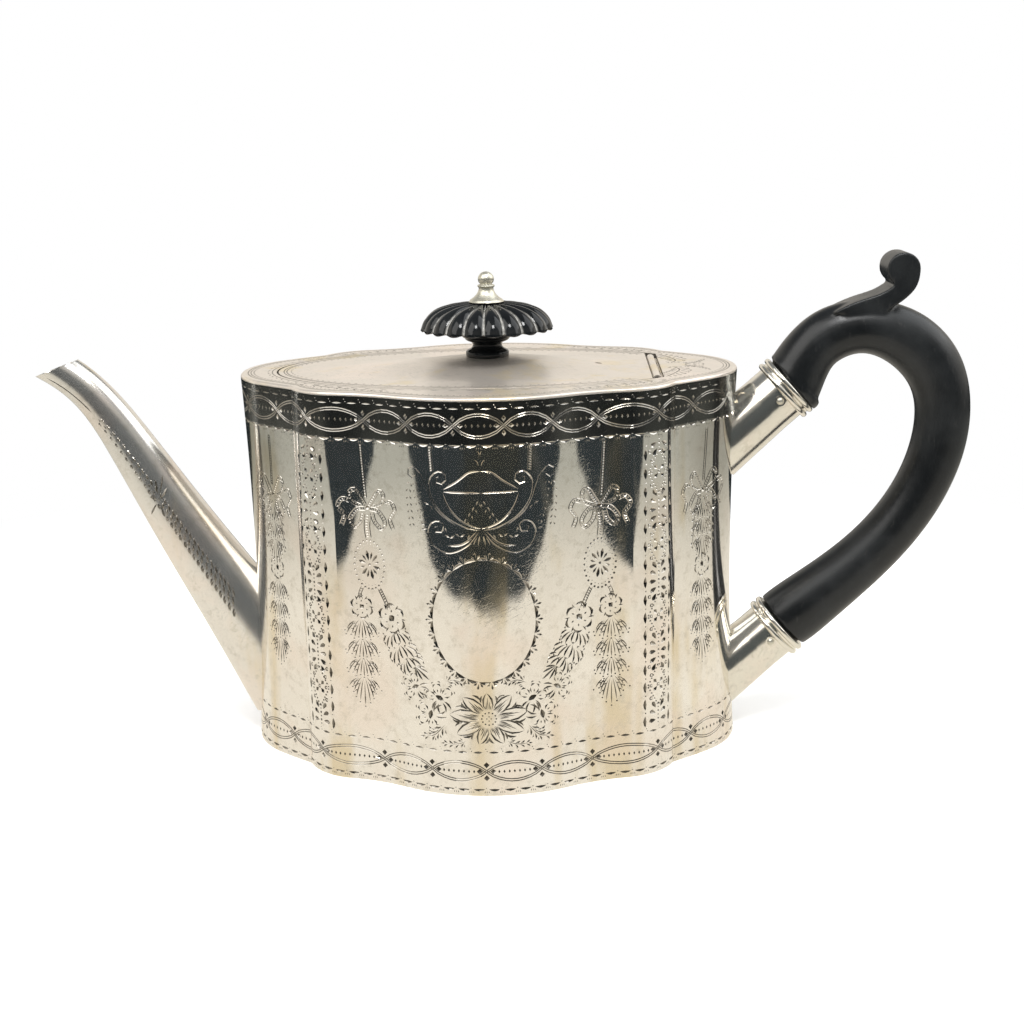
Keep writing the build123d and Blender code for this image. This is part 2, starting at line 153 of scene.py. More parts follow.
# ---- graver cuts, as centre lines with half widths -------------------------------------------------
def smooth(points, step=1.0):
    """Catmull-Rom curve through points, sampled about every step."""
    p = np.array(points, float)
    if len(p) < 3:
        return p
    ext = np.vstack([2 * p[0] - p[1], p, 2 * p[-1] - p[-2]])
    out = []
    for i in range(len(p) - 1):
        a, b, c, d = ext[i:i + 4]
        n = max(1, round(np.linalg.norm(c - b) / step))
        for t in np.arange(n) / n:
            out.append(0.5 * (2 * b + (c - a) * t + (2 * a - 5 * b + 4 * c - d) * t * t
                              + (3 * b - a - 3 * c + d) * t ** 3))
    out.append(p[-1])
    return np.array(out)


class Cuts:
    """A list of cuts, each with its points and the half width at each point."""

    def __init__(self):
        self.items = []

    def add(self, pts, widths):
        pts, widths = np.array(pts, float), np.array(widths, float)
        self.items.append((pts, widths))

    def line(self, points, w=0.15, step=1.1):
        p = smooth(points, step)
        n = len(p)
        k = np.minimum(np.minimum(np.arange(n), np.arange(n)[::-1]) / 1.5, 1)
        self.add(p, w * k)

    def leaf(self, a, b, w=0.3, bend=0.0, nose=0.5):
        """Cut swelling from a point at a to a point at b; nose says where it is widest."""
        a, b = np.array(a, float), np.array(b, float)
        d = b - a
        n = np.array([-d[1], d[0]])
        t = np.array([0, nose * 0.45, nose, nose + (1 - nose) * 0.6, 1])
        if np.hypot(*d) < 2.2:
            t = np.array([0, nose, 1])
        p = a + d * t[:, None] + n * (4 * bend * t * (1 - t))[:, None]
        swell, fall = t / nose * math.pi / 2, (t - nose) / (1 - nose) * math.pi / 2
        shape = np.where(t <= nose, np.sin(swell), np.cos(fall))
        shape[0] = shape[-1] = 0
        self.add(p, w * shape)

    def dot(self, p, r=0.28):
        x, y = p
        self.add([(x - r, y), (x - r / 2, y), (x + r / 2, y), (x + r, y)], [0, 0.85 * r, 0.85 * r, 0])

    def ring(self, c, r, w):
        """Small six-sided ring."""
        self.add([polar(c, r, math.pi * i / 3) for i in range(7)], [0.02] + [w] * 5 + [0.02])

    def placed(self, other, at=(0, 0), mirror=False):
        """Copies another list's cuts, mirrored left to right and moved."""
        for p, w in other.items:
            self.items.append((p * ((-1, 1) if mirror else (1, 1)) + at, w))


def polar(c, r, a, squash=1.0):
    """Point at distance r from c in direction a, with its height squashed."""
    return (c[0] + r * math.cos(a), c[1] + r * squash * math.sin(a))


def along(p, t):
    """Point of a curve at share t, and the curve's direction there."""
    j = min(len(p) - 2, int(t * (len(p) - 1)))
    return p[j], direction(p[j + 1] - p[j])


def rose(c, r, w=0.3):
    """Open flower: a bored eye, an inner ring of short cuts and six petals with veins."""
    k = Cuts()
    k.leaf(polar(c, 0.26 * r, 2.4), polar(c, 0.26 * r, -0.8), 0.24 * r, 0.1)
    for i in range(6):
        a = math.tau * i / 6 + 0.4
        k.leaf(polar(c, 0.4 * r, a), polar(c, 0.62 * r, a + 0.1), w * 0.6)
        k.leaf(polar(c, 0.78 * r, a - 0.46), polar(c, 0.9 * r, a + 0.4), w * 1.1, -0.3)
        k.leaf(polar(c, 0.66 * r, a + 0.5), polar(c, 1.08 * r, a + 0.6), w * 0.7, 0.1)
    return k


def bell(c, r, way):
    """Half open flower: a dark eye, three scalloped petals towards way and long sepals behind."""
    k = Cuts()
    k.leaf(polar(c, 0.4 * r, way + 2.3), polar(c, 0.4 * r, way - 0.8), 0.21 * r, 0.06)
    scallops = [(0.38, 1.2, 0.42, 0.1, 0.3, 0.22), (0.6, 0.75, 0.62, 0.25, 0.2, 0.2)]
    for turn in (-1.15, 0.0, 1.15):
        a = way + turn
        petal = polar(c, 0.78 * r, a)
        for side in (-1, 1):
            tip = polar(petal, 0.36 * r, a + side * 1.35)
            k.leaf(polar(c, 0.42 * r, a + side * 0.35), tip, 0.27, side * 0.12)
            for r0, a0, r1, a1, w, bend in scallops:
                here, tip = polar(petal, r0 * r, a + side * a0), polar(petal, r1 * r, a + side * a1)
                k.leaf(here, tip, w, side * bend)
        k.leaf(polar(c, 0.5 * r, a), petal, 0.2)
    for turn in (-2.75, -2.35, 2.35, 2.75):
        k.leaf(polar(c, 0.42 * r, way + turn), polar(c, 1.3 * r, way + turn * 1.08), 0.3, -0.14 * turn / 2.5)
    return k


def foliage(points, tiers, size, w=0.3):
    """Heavy swag of leaves: tiers of slanting strokes on both sides of a stem, hooked at the rim."""
    k = Cuts()
    p = smooth(points, 0.3)
    for i in range(tiers):
        t = (i + 0.1) / tiers
        here, way = along(p, t)
        big = size * (0.8 + 0.3 * math.sin(math.pi * (0.2 + 0.9 * t)))
        for side in (-1, 1):
            for m, reach in enumerate((0.78, 1.0, 1.08, 0.98, 0.72)):
                a = way + side * (0.16 + 0.3 * m)
                tip = polar(here, big * reach, a)
                k.leaf(polar(here, 0.5 + 0.16 * m * big, a + side * 0.2), tip, w, side * 0.1, 0.65)
                k.leaf(tip, polar(tip, 0.2 * big, a - side * 1.2), w * 0.75, -side * 0.25)
    end = direction(p[-1] - p[-3])
    for spread in (-0.7, -0.35, 0.0, 0.35, 0.7):
        k.leaf(p[-1], polar(p[-1], size * (1 - 0.6 * abs(spread)), end + spread), w, 0.12 * spread, 0.65)
    return k


def lace_drop(foot, sizes, w=0.2):
    """Drop of fine leaves in tiers that widen downwards, each with its rim pricked out in small dots."""
    k = Cuts()
    down = -math.pi / 2
    for n, size in enumerate(sizes):
        last = n == len(sizes) - 1
        for i in range(9):
            spread = -0.72 + 0.18 * i
            reach = size * ((1.3 - 0.8 * abs(spread)) if last else (0.92 + 0.1 * abs(spread) - 0.1 * (i % 2)))
            a = down + spread
            tip = polar(foot, reach, a)
            k.leaf(polar(foot, (0.14 if i % 2 else 0.3) * size, a + 0.1 * spread), tip, w, 0.14 * spread, 0.7)
            k.dot(polar(tip, 0.36, a), 0.26)
            side = 1 if spread > 0 else -1
            for share in (0.45, 0.72) if abs(spread) > 0.3 else ():
                here = polar(foot, share * reach, a)
                k.leaf(here, polar(here, 0.2 * size, a + side * 0.75), w * 0.9, side * 0.15)
        for side in (-1, 1):
            outer = down + side * 0.86
            tip = polar(foot, 0.86 * size, outer)
            k.leaf(polar(foot, 0.35 * size, down + side * 0.95), tip, w, side * 0.1)
            k.dot(polar(foot, 0.96 * size, outer), 0.26)
        foot = (foot[0], foot[1] - 0.8 * size)
    return k


def sprig(points, n, size, w=0.24, spread=0.75, taper=0.5):
    """Stem with pairs of leaf cuts, getting smaller towards its tip."""
    k = Cuts()
    p = smooth(points, 0.4)
    k.line(points, w * 0.45)
    for i in range(n):
        t = (i + 0.5) / n
        here, a = along(p, t)
        s = size * (1 - taper * t)
        for side in (-1, 1):
            b = a + side * spread
            k.leaf(polar(here, 0.15 * s, b), polar(here, s, b - side * 0.15), w, -0.1 * side, 0.6)
            if s > 1.9:
                vein = polar(here, 0.35 * s, b + side * 0.45)
                k.leaf(vein, polar(here, 0.85 * s, b + side * 0.35), w * 0.6, -0.12 * side, 0.6)
    k.leaf(p[-1], p[-1] + unit(p[-1] - p[-3]) * size * 0.6, w)
    return k


def husks(points, pitch=1.7, size=0.75, w=0.17):
    """Chain of little open husks, each a pair of short cuts."""
    k = Cuts()
    p = smooth(points, 0.3)
    gone = 0.0
    for a, b in zip(p, p[1:]):
        gone += np.linalg.norm(b - a)
        if gone > pitch:
            gone = 0.0
            d = unit(b - a)
            n = np.array([-d[1], d[0]])
            for side in (-1, 1):
                k.leaf(b + n * side * 0.18, b + d * size + n * side * size * 0.75, w, 0.1 * side, 0.6)
    return k


def ribbon(points, gap=1.0, w=0.14):
    """Twisted ribbon: two fine lines with slanting cuts between them."""
    k = Cuts()
    p = smooth(points, 0.75)
    d = unit(np.gradient(p, axis=0))
    n = np.stack([-d[:, 1], d[:, 0]], -1) * gap / 2
    for side in (-1, 1):
        q = p + side * n
        k.add(q, [0] + [w] * (len(q) - 2) + [0])
    for i in range(1, len(p) - 1):
        k.leaf(p[i] - n[i] * 0.75 - d[i] * 0.25, p[i] + n[i] * 0.75 + d[i] * 0.25, 0.24)
    return k


def bow_knot(s):
    """Ribbon bow about its knot, with two loops and two trailing ends."""
    k = Cuts()
    loops = [
        [(0.3, 0.1), (1.6, 2.2), (3.2, 4.4), (4.6, 3.6), (4.0, 1.4), (1.6, 0.2)],
        [(0.4, -0.2), (2.8, -0.6), (4.8, -3.2), (3.8, -5.0), (1.9, -3.4), (1.2, -1.0)],
        [(4.6, 1.4), (6.6, 1.9), (7.8, 0.0), (6.3, -2.4), (7.2, -5.0)],
    ]
    for side in (-1, 1):
        for pts in loops:
            k.placed(ribbon([(side * x * s, y * s) for x, y in pts], s))
    k.dot((0, 0), 0.6 * s)
    k.line([(-0.8 * s, 0.7 * s), (0, 0.95 * s), (0.8 * s, 0.7 * s)], 0.13)
    return k


def patera():
    """Upright oval of beads round a flower."""
    k = Cuts()
    a, b, beads, petals, pricks = 4.6, 7.0, 26, 12, 24
    for i in range(beads):
        t = math.tau * i / beads
        k.dot((a * math.cos(t), b * math.sin(t)), 0.36)
    for i in range(petals):
        t = math.tau * i / petals + 0.26
        r0, r1, w = (0.28, 0.66, 0.34) if i % 2 else (0.22, 0.74, 0.5)
        foot = (a * r0 * math.cos(t), b * r0 * 0.75 * math.sin(t))
        k.leaf(foot, (a * r1 * math.cos(t), b * r1 * 0.82 * math.sin(t)), w, 0, 0.65)
    k.dot((0, 0), 0.45)
    for i in range(pricks):
        t = math.tau * (i + 0.5) / pricks
        k.dot((a * 0.84 * math.cos(t), b * 0.86 * math.sin(t)), 0.16)
    return k


def urn():
    """Right half of the covered urn and its scrolls; the left is its mirror image."""
    k = Cuts()
    k.line([(0, 91.2), (3, 90.8), (6.2, 88.4), (10, 86.1)], 0.26)
    k.line([(0, 85.3), (5, 85.35), (10.1, 85.5)], 0.26)
    k.line([(10.2, 85.2), (8.9, 81.6), (5.6, 77.8), (1.8, 75.9), (0, 75.7)], 0.24)
    k.line([(0.4, 75.0), (4.2, 75.8), (9.0, 78.3), (12.6, 82.2), (14.0, 86.2), (13.4, 89.4), (11.3, 91.0),
            (9.5, 90.2), (9.3, 88.6), (10.4, 87.6), (11.8, 88.0), (11.9, 89.3), (11.0, 89.6)], 0.19)
    k.line([(6.8, 76.3), (11.0, 79.4), (13.4, 82.6), (15.0, 87.0), (16.6, 90.3), (18.6, 92.0), (20.0, 91.2),
            (20.1, 89.6), (18.9, 88.8), (17.8, 89.7), (18.4, 90.6)], 0.16)
    k.line([(0.7, 74.6), (2.9, 71.6), (6.4, 69.3), (9.8, 68.7), (13.2, 70.6), (14.7, 74.0), (13.6, 76.8),
            (11.4, 77.4), (10.2, 76.0), (10.9, 74.4), (12.5, 74.4), (12.8, 75.7), (11.8, 76.0)], 0.19)
    k.line([(1.3, 74.8), (3.6, 72.2), (6.2, 70.9), (9.3, 70.7)], 0.3)
    k.leaf((0.5, 92.2), (1.5, 94.4), 0.2, 0.15)
    k.leaf((0.3, 94.6), (0.6, 96.8), 0.2, 0.1)
    k.leaf((0.5, 73.6), (0.9, 70.6), 0.26)
    k.leaf((1.2, 73.2), (2.2, 71.0), 0.22)
    small_leaves = [(4.4, 74.0, -0.5), (5.9, 73.3, 0.6), (7.3, 73.6, -0.6), (8.6, 73.0, 0.5),
                    (9.4, 74.3, 1.3), (3.2, 73.9, -1.2), (15.6, 76.0, 0.6), (15.2, 74.9, 0.2),
                    (13.0, 80.4, 0.9), (14.2, 81.8, 0.4)]
    for x, z, a in small_leaves:
        k.leaf((x, z), polar((x, z), 1.5, a), 0.27)
    for i in range(4):
        x, z = 0.7 + 1.1 * i, 83.2 - 1.6 * i
        k.leaf((x, z), (x + 0.5, z - 1.3), 0.22)
        k.leaf((x - 0.4, z - 0.8), (x - 0.7, z - 2.0), 0.18)
    k.placed(husks([(18.4, 89.2), (20.0, 86.0), (20.0, 81.0), (19.5, 76.4)], 1.75, 0.95, 0.24))
    k.placed(husks([(18.2, 89.4), (18.0, 85.5), (17.2, 80.8), (15.8, 76.6)], 1.6, 0.8, 0.2))
    k.placed(ribbon([(13.6, 98.2), (13.4, 94.0), (13.2, 90.6)], 1.0, 0.11))
    return k


def medallion():
    """Scalloped oval with a tuft of three small leaves at each joint."""
    k = Cuts()
    a, b, middle, scallops = 14.2, 17.3, 49.5, 26
    for i in range(scallops):
        t0, t1 = math.tau * i / scallops, math.tau * (i + 1) / scallops
        p, q = ((a * math.cos(t), middle + b * math.sin(t)) for t in (t0, t1))
        k.leaf(p, q, 0.5, -0.13)
        d = math.atan2(math.sin(t0) / b, math.cos(t0) / a)
        for da, r in ((-0.85, 1.9), (0, 2.3), (0.85, 1.9)):
            k.leaf(polar(p, 0.45, d + da), polar(p, r, d + da * 0.9), 0.34, 0, 0.68)
    return k


def sunflower():
    """Large flower of nine pointed petals, each with its edges and veins."""
    k = Cuts()
    c, seeds, petals = (0.8, 21.6), 12, 9
    for i in range(seeds):
        k.dot(polar(c, 2.0, math.tau * i / seeds, 0.9), 0.26)
        if i % 3 == 0:
            k.dot(polar(c, 0.6, math.tau * i / seeds), 0.2)
    for i in range(petals):
        a = math.tau * i / petals + math.pi / 2
        reach = 9.4 + 1.8 * abs(math.cos(a))
        tip = polar(c, reach, a + 0.06, 0.8)
        for side in (-1, 1):
            k.leaf(polar(c, 2.9, a + side * 0.3, 0.9), tip, 0.3, side * 0.17, 0.6)
            lobe = polar(c, 0.62 * reach, a + side * 0.36, 0.84)
            k.leaf(lobe, polar(c, 0.92 * reach, a + side * 0.2, 0.8), 0.36, side * 0.16)
        for da in (-0.19, -0.1, 0.0, 0.1, 0.19):
            tip = polar(c, reach * (0.82 - 1.6 * abs(da)), a + da * 0.8 + 0.03, 0.84)
            k.leaf(polar(c, 2.8, a + da * 1.2, 0.9), tip, 0.16, 0.05)
    return k


def acanthus(points, n, size):
    """Broad leaf with a rib and lobed edges."""
    k = Cuts()
    p = smooth(points, 0.4)
    k.line(points, 0.24)
    for side in (-1, 1):
        for i in range(n):
            t = (i + 0.3) / n
            here, a = along(p, t)
            s = size * math.sin(math.pi * (0.18 + 0.75 * t))
            tip = polar(here, s, a + side * 0.95)
            k.leaf(polar(here, 0.5, a + side * 1.3), tip, 0.26, -side * 0.1)
            k.leaf(tip, polar(tip, s * 0.55, a + side * 0.1), 0.42, side * 0.22)
            k.leaf(polar(tip, 0.4, a), polar(tip, s * 0.5, a - side * 0.5), 0.34, side * 0.15)
    return k


PANEL_SHIFT = (0.2, 1.3)


def front_panel():
    """All the engraving of one bow, between the two bands."""
    k, side = Cuts(), Cuts()
    side.placed(urn())
    side.placed(bow_knot(1.12), (33.6, 79.2))
    side.placed(ribbon([(35.0, 97.2), (34.6, 90.0), (34.0, 81.6)], 0.8))
    side.placed(ribbon([(33.4, 77.8), (33.9, 74.0), (33.6, 70.4)], 1.7))
    side.placed(patera(), (33.6, 63.0))
    side.placed(ribbon([(36.0, 56.6), (37.0, 54.4), (36.6, 52.6)], 0.8))
    side.placed(ribbon([(31.0, 56.6), (29.4, 53.6), (28.0, 50.6)], 0.9))
    side.placed(rose((36.6, 50.6), 3.4, 0.33))
    side.placed(lace_drop((36.8, 47.8), (7.1, 7.1, 6.9, 7.3)))
    side.placed(rose((27.2, 48.2), 4.3, 0.4))
    side.placed(foliage([(26.8, 45.4), (25.2, 41.2), (22.6, 37.6), (20.0, 35.4)], 3, 5.4, 0.3))
    side.placed(bell((20.2, 29.4), 3.3, 0.3))
    side.placed(bell((13.0, 27.0), 3.5, 1.35))
    side.placed(bell((15.6, 22.0), 3.6, -0.55))
    side.placed(sprig([(11.4, 31.6), (8.8, 32.6), (6.2, 32.0)], 3, 2.4, 0.28, 0.8, 0.3))
    side.placed(sprig([(11.6, 19.4), (14.6, 16.2), (17.6, 15.4)], 4, 2.9, 0.3, 0.8, 0.4))
    side.placed(sprig([(5.4, 15.0), (8.4, 13.9), (11.6, 13.9)], 4, 2.0, 0.26, 0.8, 0.2))
    for mirror in (False, True):
        k.placed(side, PANEL_SHIFT, mirror)
    k.placed(medallion(), PANEL_SHIFT)
    k.placed(sunflower(), PANEL_SHIFT)
    return k


def end_drop():
    """Ribbon bow with a long drop of flowers, about a vertical line at u = 0."""
    k = Cuts()
    k.placed(bow_knot(1.2), (0, 79.6))
    k.placed(ribbon([(0.6, 97.5), (0.4, 90.0), (0, 82.0)], 0.8))
    for side in (-1, 1):
        k.placed(sprig([(side * 0.8, 79.0), (side * 3.6, 72.0), (side * 4.4, 64.0)], 7, 2.1, 0.25, 0.8, 0.2))
    k.placed(lace_drop((0, 77.4), (6.4, 6.4, 6.4), 0.24))
    k.placed(rose((0, 57.6), 3.4))
    k.placed(lace_drop((0, 54.6), (7.2, 7.2, 7.0, 7.0), 0.24))
    return k


def pilaster():
    """Lace strip: lozenges round four-petalled flowers, fans and rings between, deep cuts down the edges."""
    k = Cuts()
    pitch, half, low, high = 20.6, 4.55, 14.4, 98.0
    flowers = [26.6 + pitch * i for i in range(4)]
    for m in flowers:
        k.ring((0, m), 0.46, 0.18)
        for a in (0.785, 2.356, 3.927, 5.498):
            k.leaf(polar((0, m), 0.7, a), polar((0, m), 2.5, a), 0.66, 0, 0.62)
        for side in (-1, 1):
            for up in (-1, 1):
                for i in range(7):
                    t = (i + 0.4) / 7
                    k.dot((side * (half - 0.8) * (1 - t), m + up * 6.4 * t), 0.34)
                k.line([(side * (half - 1.9), m + up * 0.3), (0, m + up * 4.6)], 0.18)
            k.ring((side * 2.6, m), 0.42, 0.18)
    for m in [flowers[0] - pitch / 2] + [v + pitch / 2 for v in flowers]:
        for i in range(9):
            y = m - 4.6 + 1.15 * i
            if low < y < high:
                k.dot((0, y), 0.28 if i % 2 else 0.4)
        for side in (-1, 1):
            for y, a in ((-4.6, -1.0), (-2.5, -0.55), (-0.3, -0.05), (1.9, 0.45), (4.0, 0.95)):
                q = (side * (0.9 + 2.4 * math.cos(a)), m + y * 0.85 + 2.4 * math.sin(a))
                if low + 1 < q[1] < high - 1:
                    k.leaf((side * 0.9, m + y * 0.85), q, 0.7, 0.05 * side, 0.7)
                    if abs(a) > 0.5:
                        k.ring((q[0] + side * 0.3, q[1] + (1.2 if a > 0 else -1.2)), 0.46, 0.2)
    y = low
    while y + 3.4 < high:
        for side in (-1, 1):
            k.leaf((side * half, y), (side * half, y + 3.4), 0.56, -0.04 * side)
            k.dot((side * (half - 0.1), y + 4.3), 0.24)
        y += 5.15
    return k


def crossings(first, pitch):
    """Where the guilloche crosses itself, round one quarter."""
    on_bow = list(np.arange(first, U_CREASE - pitch / 3, pitch))
    return on_bow + [U_PILASTER + (QUARTER - U_PILASTER) * i / 3 for i in range(4)]


def all_round(quarter):
    """Positions of one quarter, repeated to the whole girth, sorted and unique."""
    full = set()
    for u in quarter:
        for v in (u, -u, BACK - u, BACK + u):
            full.add(round(v % GIRTH, 3) % round(GIRTH, 3))
    return sorted(full)


def band(mid, amp, first, pitch, dash_z, scallop_z, deep):
    """Band of interlaced waves with beads in its ovals, a row of dashes and a scalloped row."""
    k = Cuts()
    xs = all_round(crossings(first, pitch))
    cells = list(zip(xs, xs[1:] + [xs[0] + GIRTH]))
    for n, (a, b) in enumerate(cells):
        sign = 1 if n % 2 else -1
        for s in (sign, -sign):
            for gap in (-0.33, 0.33):
                t = np.linspace(0, 1, max(7, round((b - a) / 1.6)))
                z = mid + s * (amp * np.sin(math.pi * t) ** 0.75 + gap)
                k.add(np.stack([a + (b - a) * t, z], -1), np.full(len(t), 0.16))
        room = b - a - 7.0
        beads = max(3, round(room / 1.3))
        for i in range(beads):
            x = a + 3.5 + room * i / (beads - 1)
            k.leaf((x, mid - 0.55), (x, mid + 0.55), 0.33)
        for d in (0, math.pi / 2, math.pi, -math.pi / 2):
            k.leaf(polar((a, mid), 1.0, d), polar((a, mid), 2.8, d), 0.85 if deep else 0.62, 0, 0.55)
    n = round(GIRTH / DASH_PITCH)
    for i in range(n):
        u = GIRTH * i / n
        k.leaf((u + 0.7, dash_z), (u + 3.5, dash_z), 0.36 if deep else 0.26, 0.03)
        for x in (-0.1, 0.25):
            k.dot((u + x, dash_z + 0.9 - 2 * x), 0.17)
        k.leaf((u + 0.5, scallop_z), (u + 3.8, scallop_z), 0.4, -0.08)
        k.leaf((u + 3.9, scallop_z + 0.3), (u + 4.45, scallop_z + 0.25), 0.16)
        for x in (-0.45, 0, 0.45):
            k.leaf((u + x, scallop_z - 0.5), (u + 1.5 * x, scallop_z - 1.25), 0.13)
    return k


# ---- turning cuts into surfaces --------------------------------------------------------------------
SLOPE = 0.62            # depth of a cut over its half width
LEAST_DEPTH = 0.012     # shallower than this doesn't count as cut
FULL_DEPTH = 0.2        # a cut this deep holds as much dirt as any


def cut_segments(items):
    """One row for each straight piece of each cut: its two ends and their half widths."""
    rows = []
    for p, w in items:
        for i in range(len(p) - 1):
            rows.append((*p[i], *p[i + 1], w[i], w[i + 1]))
    return np.array(rows).reshape(-1, 6)


def depth_at(points, rows, cell=2.0):
    """Depth of the deepest cut at each point."""
    depth = np.zeros(len(points))
    if not len(rows):
        return depth
    reach = np.maximum(rows[:, 4], rows[:, 5])
    low = np.floor((np.minimum(rows[:, 0:2], rows[:, 2:4]) - reach[:, None]) / cell).astype(int)
    high = np.floor((np.maximum(rows[:, 0:2], rows[:, 2:4]) + reach[:, None]) / cell).astype(int)
    near = {}
    for i in range(len(rows)):
        for x in range(low[i, 0], high[i, 0] + 1):
            for y in range(low[i, 1], high[i, 1] + 1):
                near.setdefault((x, y), []).append(i)
    keys = np.floor(points / cell).astype(int)
    order = np.lexsort((keys[:, 1], keys[:, 0]))
    start = 0
    for end in range(1, len(order) + 1):
        if end < len(order) and (keys[order[end]] == keys[order[start]]).all():
            continue
        group = order[start:end]
        here = near.get(tuple(keys[order[start]]))
        start = end
        if not here:
            continue
        r = rows[here]
        a, d = r[:, 0:2], r[:, 2:4] - r[:, 0:2]
        v = points[group][:, None] - a
        length = np.linalg.norm(d, axis=1)
        t = (v * d).sum(-1) / np.maximum(length ** 2, 1e-12)
        beside = (t * length > -0.01) & ((t - 1) * length < 0.01)
        t = np.clip(t, 0, 1)
        gap = np.linalg.norm(v - t[..., None] * d, axis=-1)
        width = np.where(beside, r[:, 4] + (r[:, 5] - r[:, 4]) * t, 0)
        depth[group] = np.maximum((width - gap).max(1), 0) * SLOPE
    depth[depth < LEAST_DEPTH] = 0
    return depth


def outline_of(p, w):
    """Left and right edges of a cut, for the places where it has width."""
    d = unit(np.gradient(p, axis=0))
    n = np.stack([-d[:, 1], d[:, 0]], -1) * w[:, None]
    return p + n, p - n


def engrave(items, borders, inside, grid, surface):
    """Triangulated sheet with V cuts in it: points, triangles, corner normals, and how deep each corner is
    cut. borders are closed loops of points, inside tells which triangles to keep, grid holds free points."""
    verts, edges = [], []

    def chain(points, closed=False):
        first = len(verts)
        verts.extend(tuple(q) for q in points)
        edges.extend((first + i, first + i + 1) for i in range(len(points) - 1))
        if closed:
            edges.append((first + len(points) - 1, first))
        return first

    for loop in borders:
        chain(loop, True)
    verts.extend(tuple(q) for q in grid)
    for p, w in items:
        first = chain(p)
        wide = [i for i in range(len(p)) if w[i] > 0]
        if not wide:
            continue
        left, right = outline_of(p, w)
        for side in (left, right):
            start = len(verts)
            verts.extend(tuple(side[i]) for i in wide)
            edges.extend((start + i, start + i + 1) for i in range(len(wide) - 1))
            edges.append((first + max(wide[0] - 1, 0), start))
            edges.append((start + len(wide) - 1, first + min(wide[-1] + 1, len(p) - 1)))
    out = delaunay_2d_cdt([Vector(v) for v in verts], edges, [], 0, 1e-5)
    flat = np.array([tuple(v) for v in out[0]])
    faces = np.array([f for f in out[2] if len(f) == 3], int)
    mid = flat[faces].mean(1)
    faces = faces[inside(mid)]
    used = np.unique(faces)
    remap = -np.ones(len(flat), int)
    remap[used] = np.arange(len(used))
    flat, faces = flat[used], remap[faces]
    a, b, c = (flat[faces[:, i]] for i in range(3))
    area = (b[:, 0] - a[:, 0]) * (c[:, 1] - a[:, 1]) - (b[:, 1] - a[:, 1]) * (c[:, 0] - a[:, 0])
    faces[area < 0] = faces[area < 0][:, ::-1]
    faces = faces[np.abs(area) > 1e-9]
    rows = cut_segments(items)
    depth = depth_at(flat, rows)
    base, normal = surface(flat)
    points = base - normal * depth[:, None]
    cut = (depth[faces].max(1) > 0) & (depth_at(flat[faces].mean(1), rows) > 0)
    corners = normal[faces]
    a, b, c = (points[faces[:, i]] for i in range(3))
    facet = unit(np.cross(b - a, c - a))
    corners[cut] = facet[cut][:, None]
    worn = 0.3 + 0.7 * np.minimum(depth / FULL_DEPTH, 1)
    return points, faces, corners, np.where(cut[:, None], worn[faces], 0.0)


def link(name, data):
    """Object holding data, in the scene."""
    obj = bpy.data.objects.new(name, data)
    bpy.context.scene.collection.objects.link(obj)
    return obj


def add_piece(name, mesh, material, body, replaced=None):
    """A visible piece that rides on body and stands for the solid called replaced."""
    obj = link(name, mesh)
    mesh.materials.clear()
    mesh.materials.append(material)
    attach(obj, body)
    if replaced:
        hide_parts(replaced)
    return obj


class Sheet:
    """Collects patches into one mesh with its own corner normals."""

    def __init__(self):
        self.points, self.faces, self.normals, self.cuts = [], [], [], []
        self.count = 0

    def add(self, points, faces, normals, cuts=None, flip=False):
        """Adds a patch. A flipped one shows its other side."""
        if flip:
            faces, normals = faces[:, ::-1], -normals[:, ::-1]
        self.points.append(np.asarray(points, float))
        self.faces.append(np.asarray(faces, int) + self.count)
        self.normals.append(np.asarray(normals, float))
        self.cuts.append(np.zeros(np.asarray(faces).shape) if cuts is None else cuts)
        self.count += len(points)

    def strip(self, rows, normals, flip=False, darkening=0.0):
        """Joins closed rows of points, each with its normals, into a band of triangles."""
        rows, normals = np.asarray(rows, float), np.asarray(normals, float)
        r, n = rows.shape[:2]
        i, j = np.meshgrid(np.arange(r - 1), np.arange(n), indexing="ij")
        a, b = i * n + j, i * n + (j + 1) % n
        corners = [(a, b, b + n), (a, b + n, a + n)]
        faces = np.concatenate([np.stack(c, -1).reshape(-1, 3) for c in corners])
        if flip:
            faces = faces[:, ::-1]
        self.add(rows.reshape(-1, 3), faces, normals.reshape(-1, 3)[faces], np.full(faces.shape, darkening))

    def build(self, name, material, body, slot, replaced=None):
        """Makes the piece, with points half a micrometre apart welded and emptied triangles dropped."""
        p = np.concatenate(self.points) * MM
        keys, inverse = np.unique(np.round(p * 2e6).astype(np.int64), axis=0, return_inverse=True)
        inverse = inverse.reshape(-1)
        first = np.zeros(len(keys), int)
        first[inverse[::-1]] = np.arange(len(p))[::-1]
        f = inverse[np.concatenate(self.faces)]
        ok = (f[:, 0] != f[:, 1]) & (f[:, 1] != f[:, 2]) & (f[:, 0] != f[:, 2])
        f, cuts, normals = f[ok], np.concatenate(self.cuts)[ok], np.concatenate(self.normals)[ok]
        mesh = bpy.data.meshes.new(name)
        mesh.from_pydata(p[first].tolist(), [], f.tolist())
        mesh.polygons.foreach_set("use_smooth", np.ones(len(f), bool))
        mesh.update()
        attribute = mesh.attributes.new("cut", "FLOAT", "CORNER")
        attribute.data.foreach_set("value", cuts.reshape(-1).astype(np.float32))
        mesh.normals_split_custom_set(normals.reshape(-1, 3).tolist())
        add_piece(name, mesh, material, body, replaced)


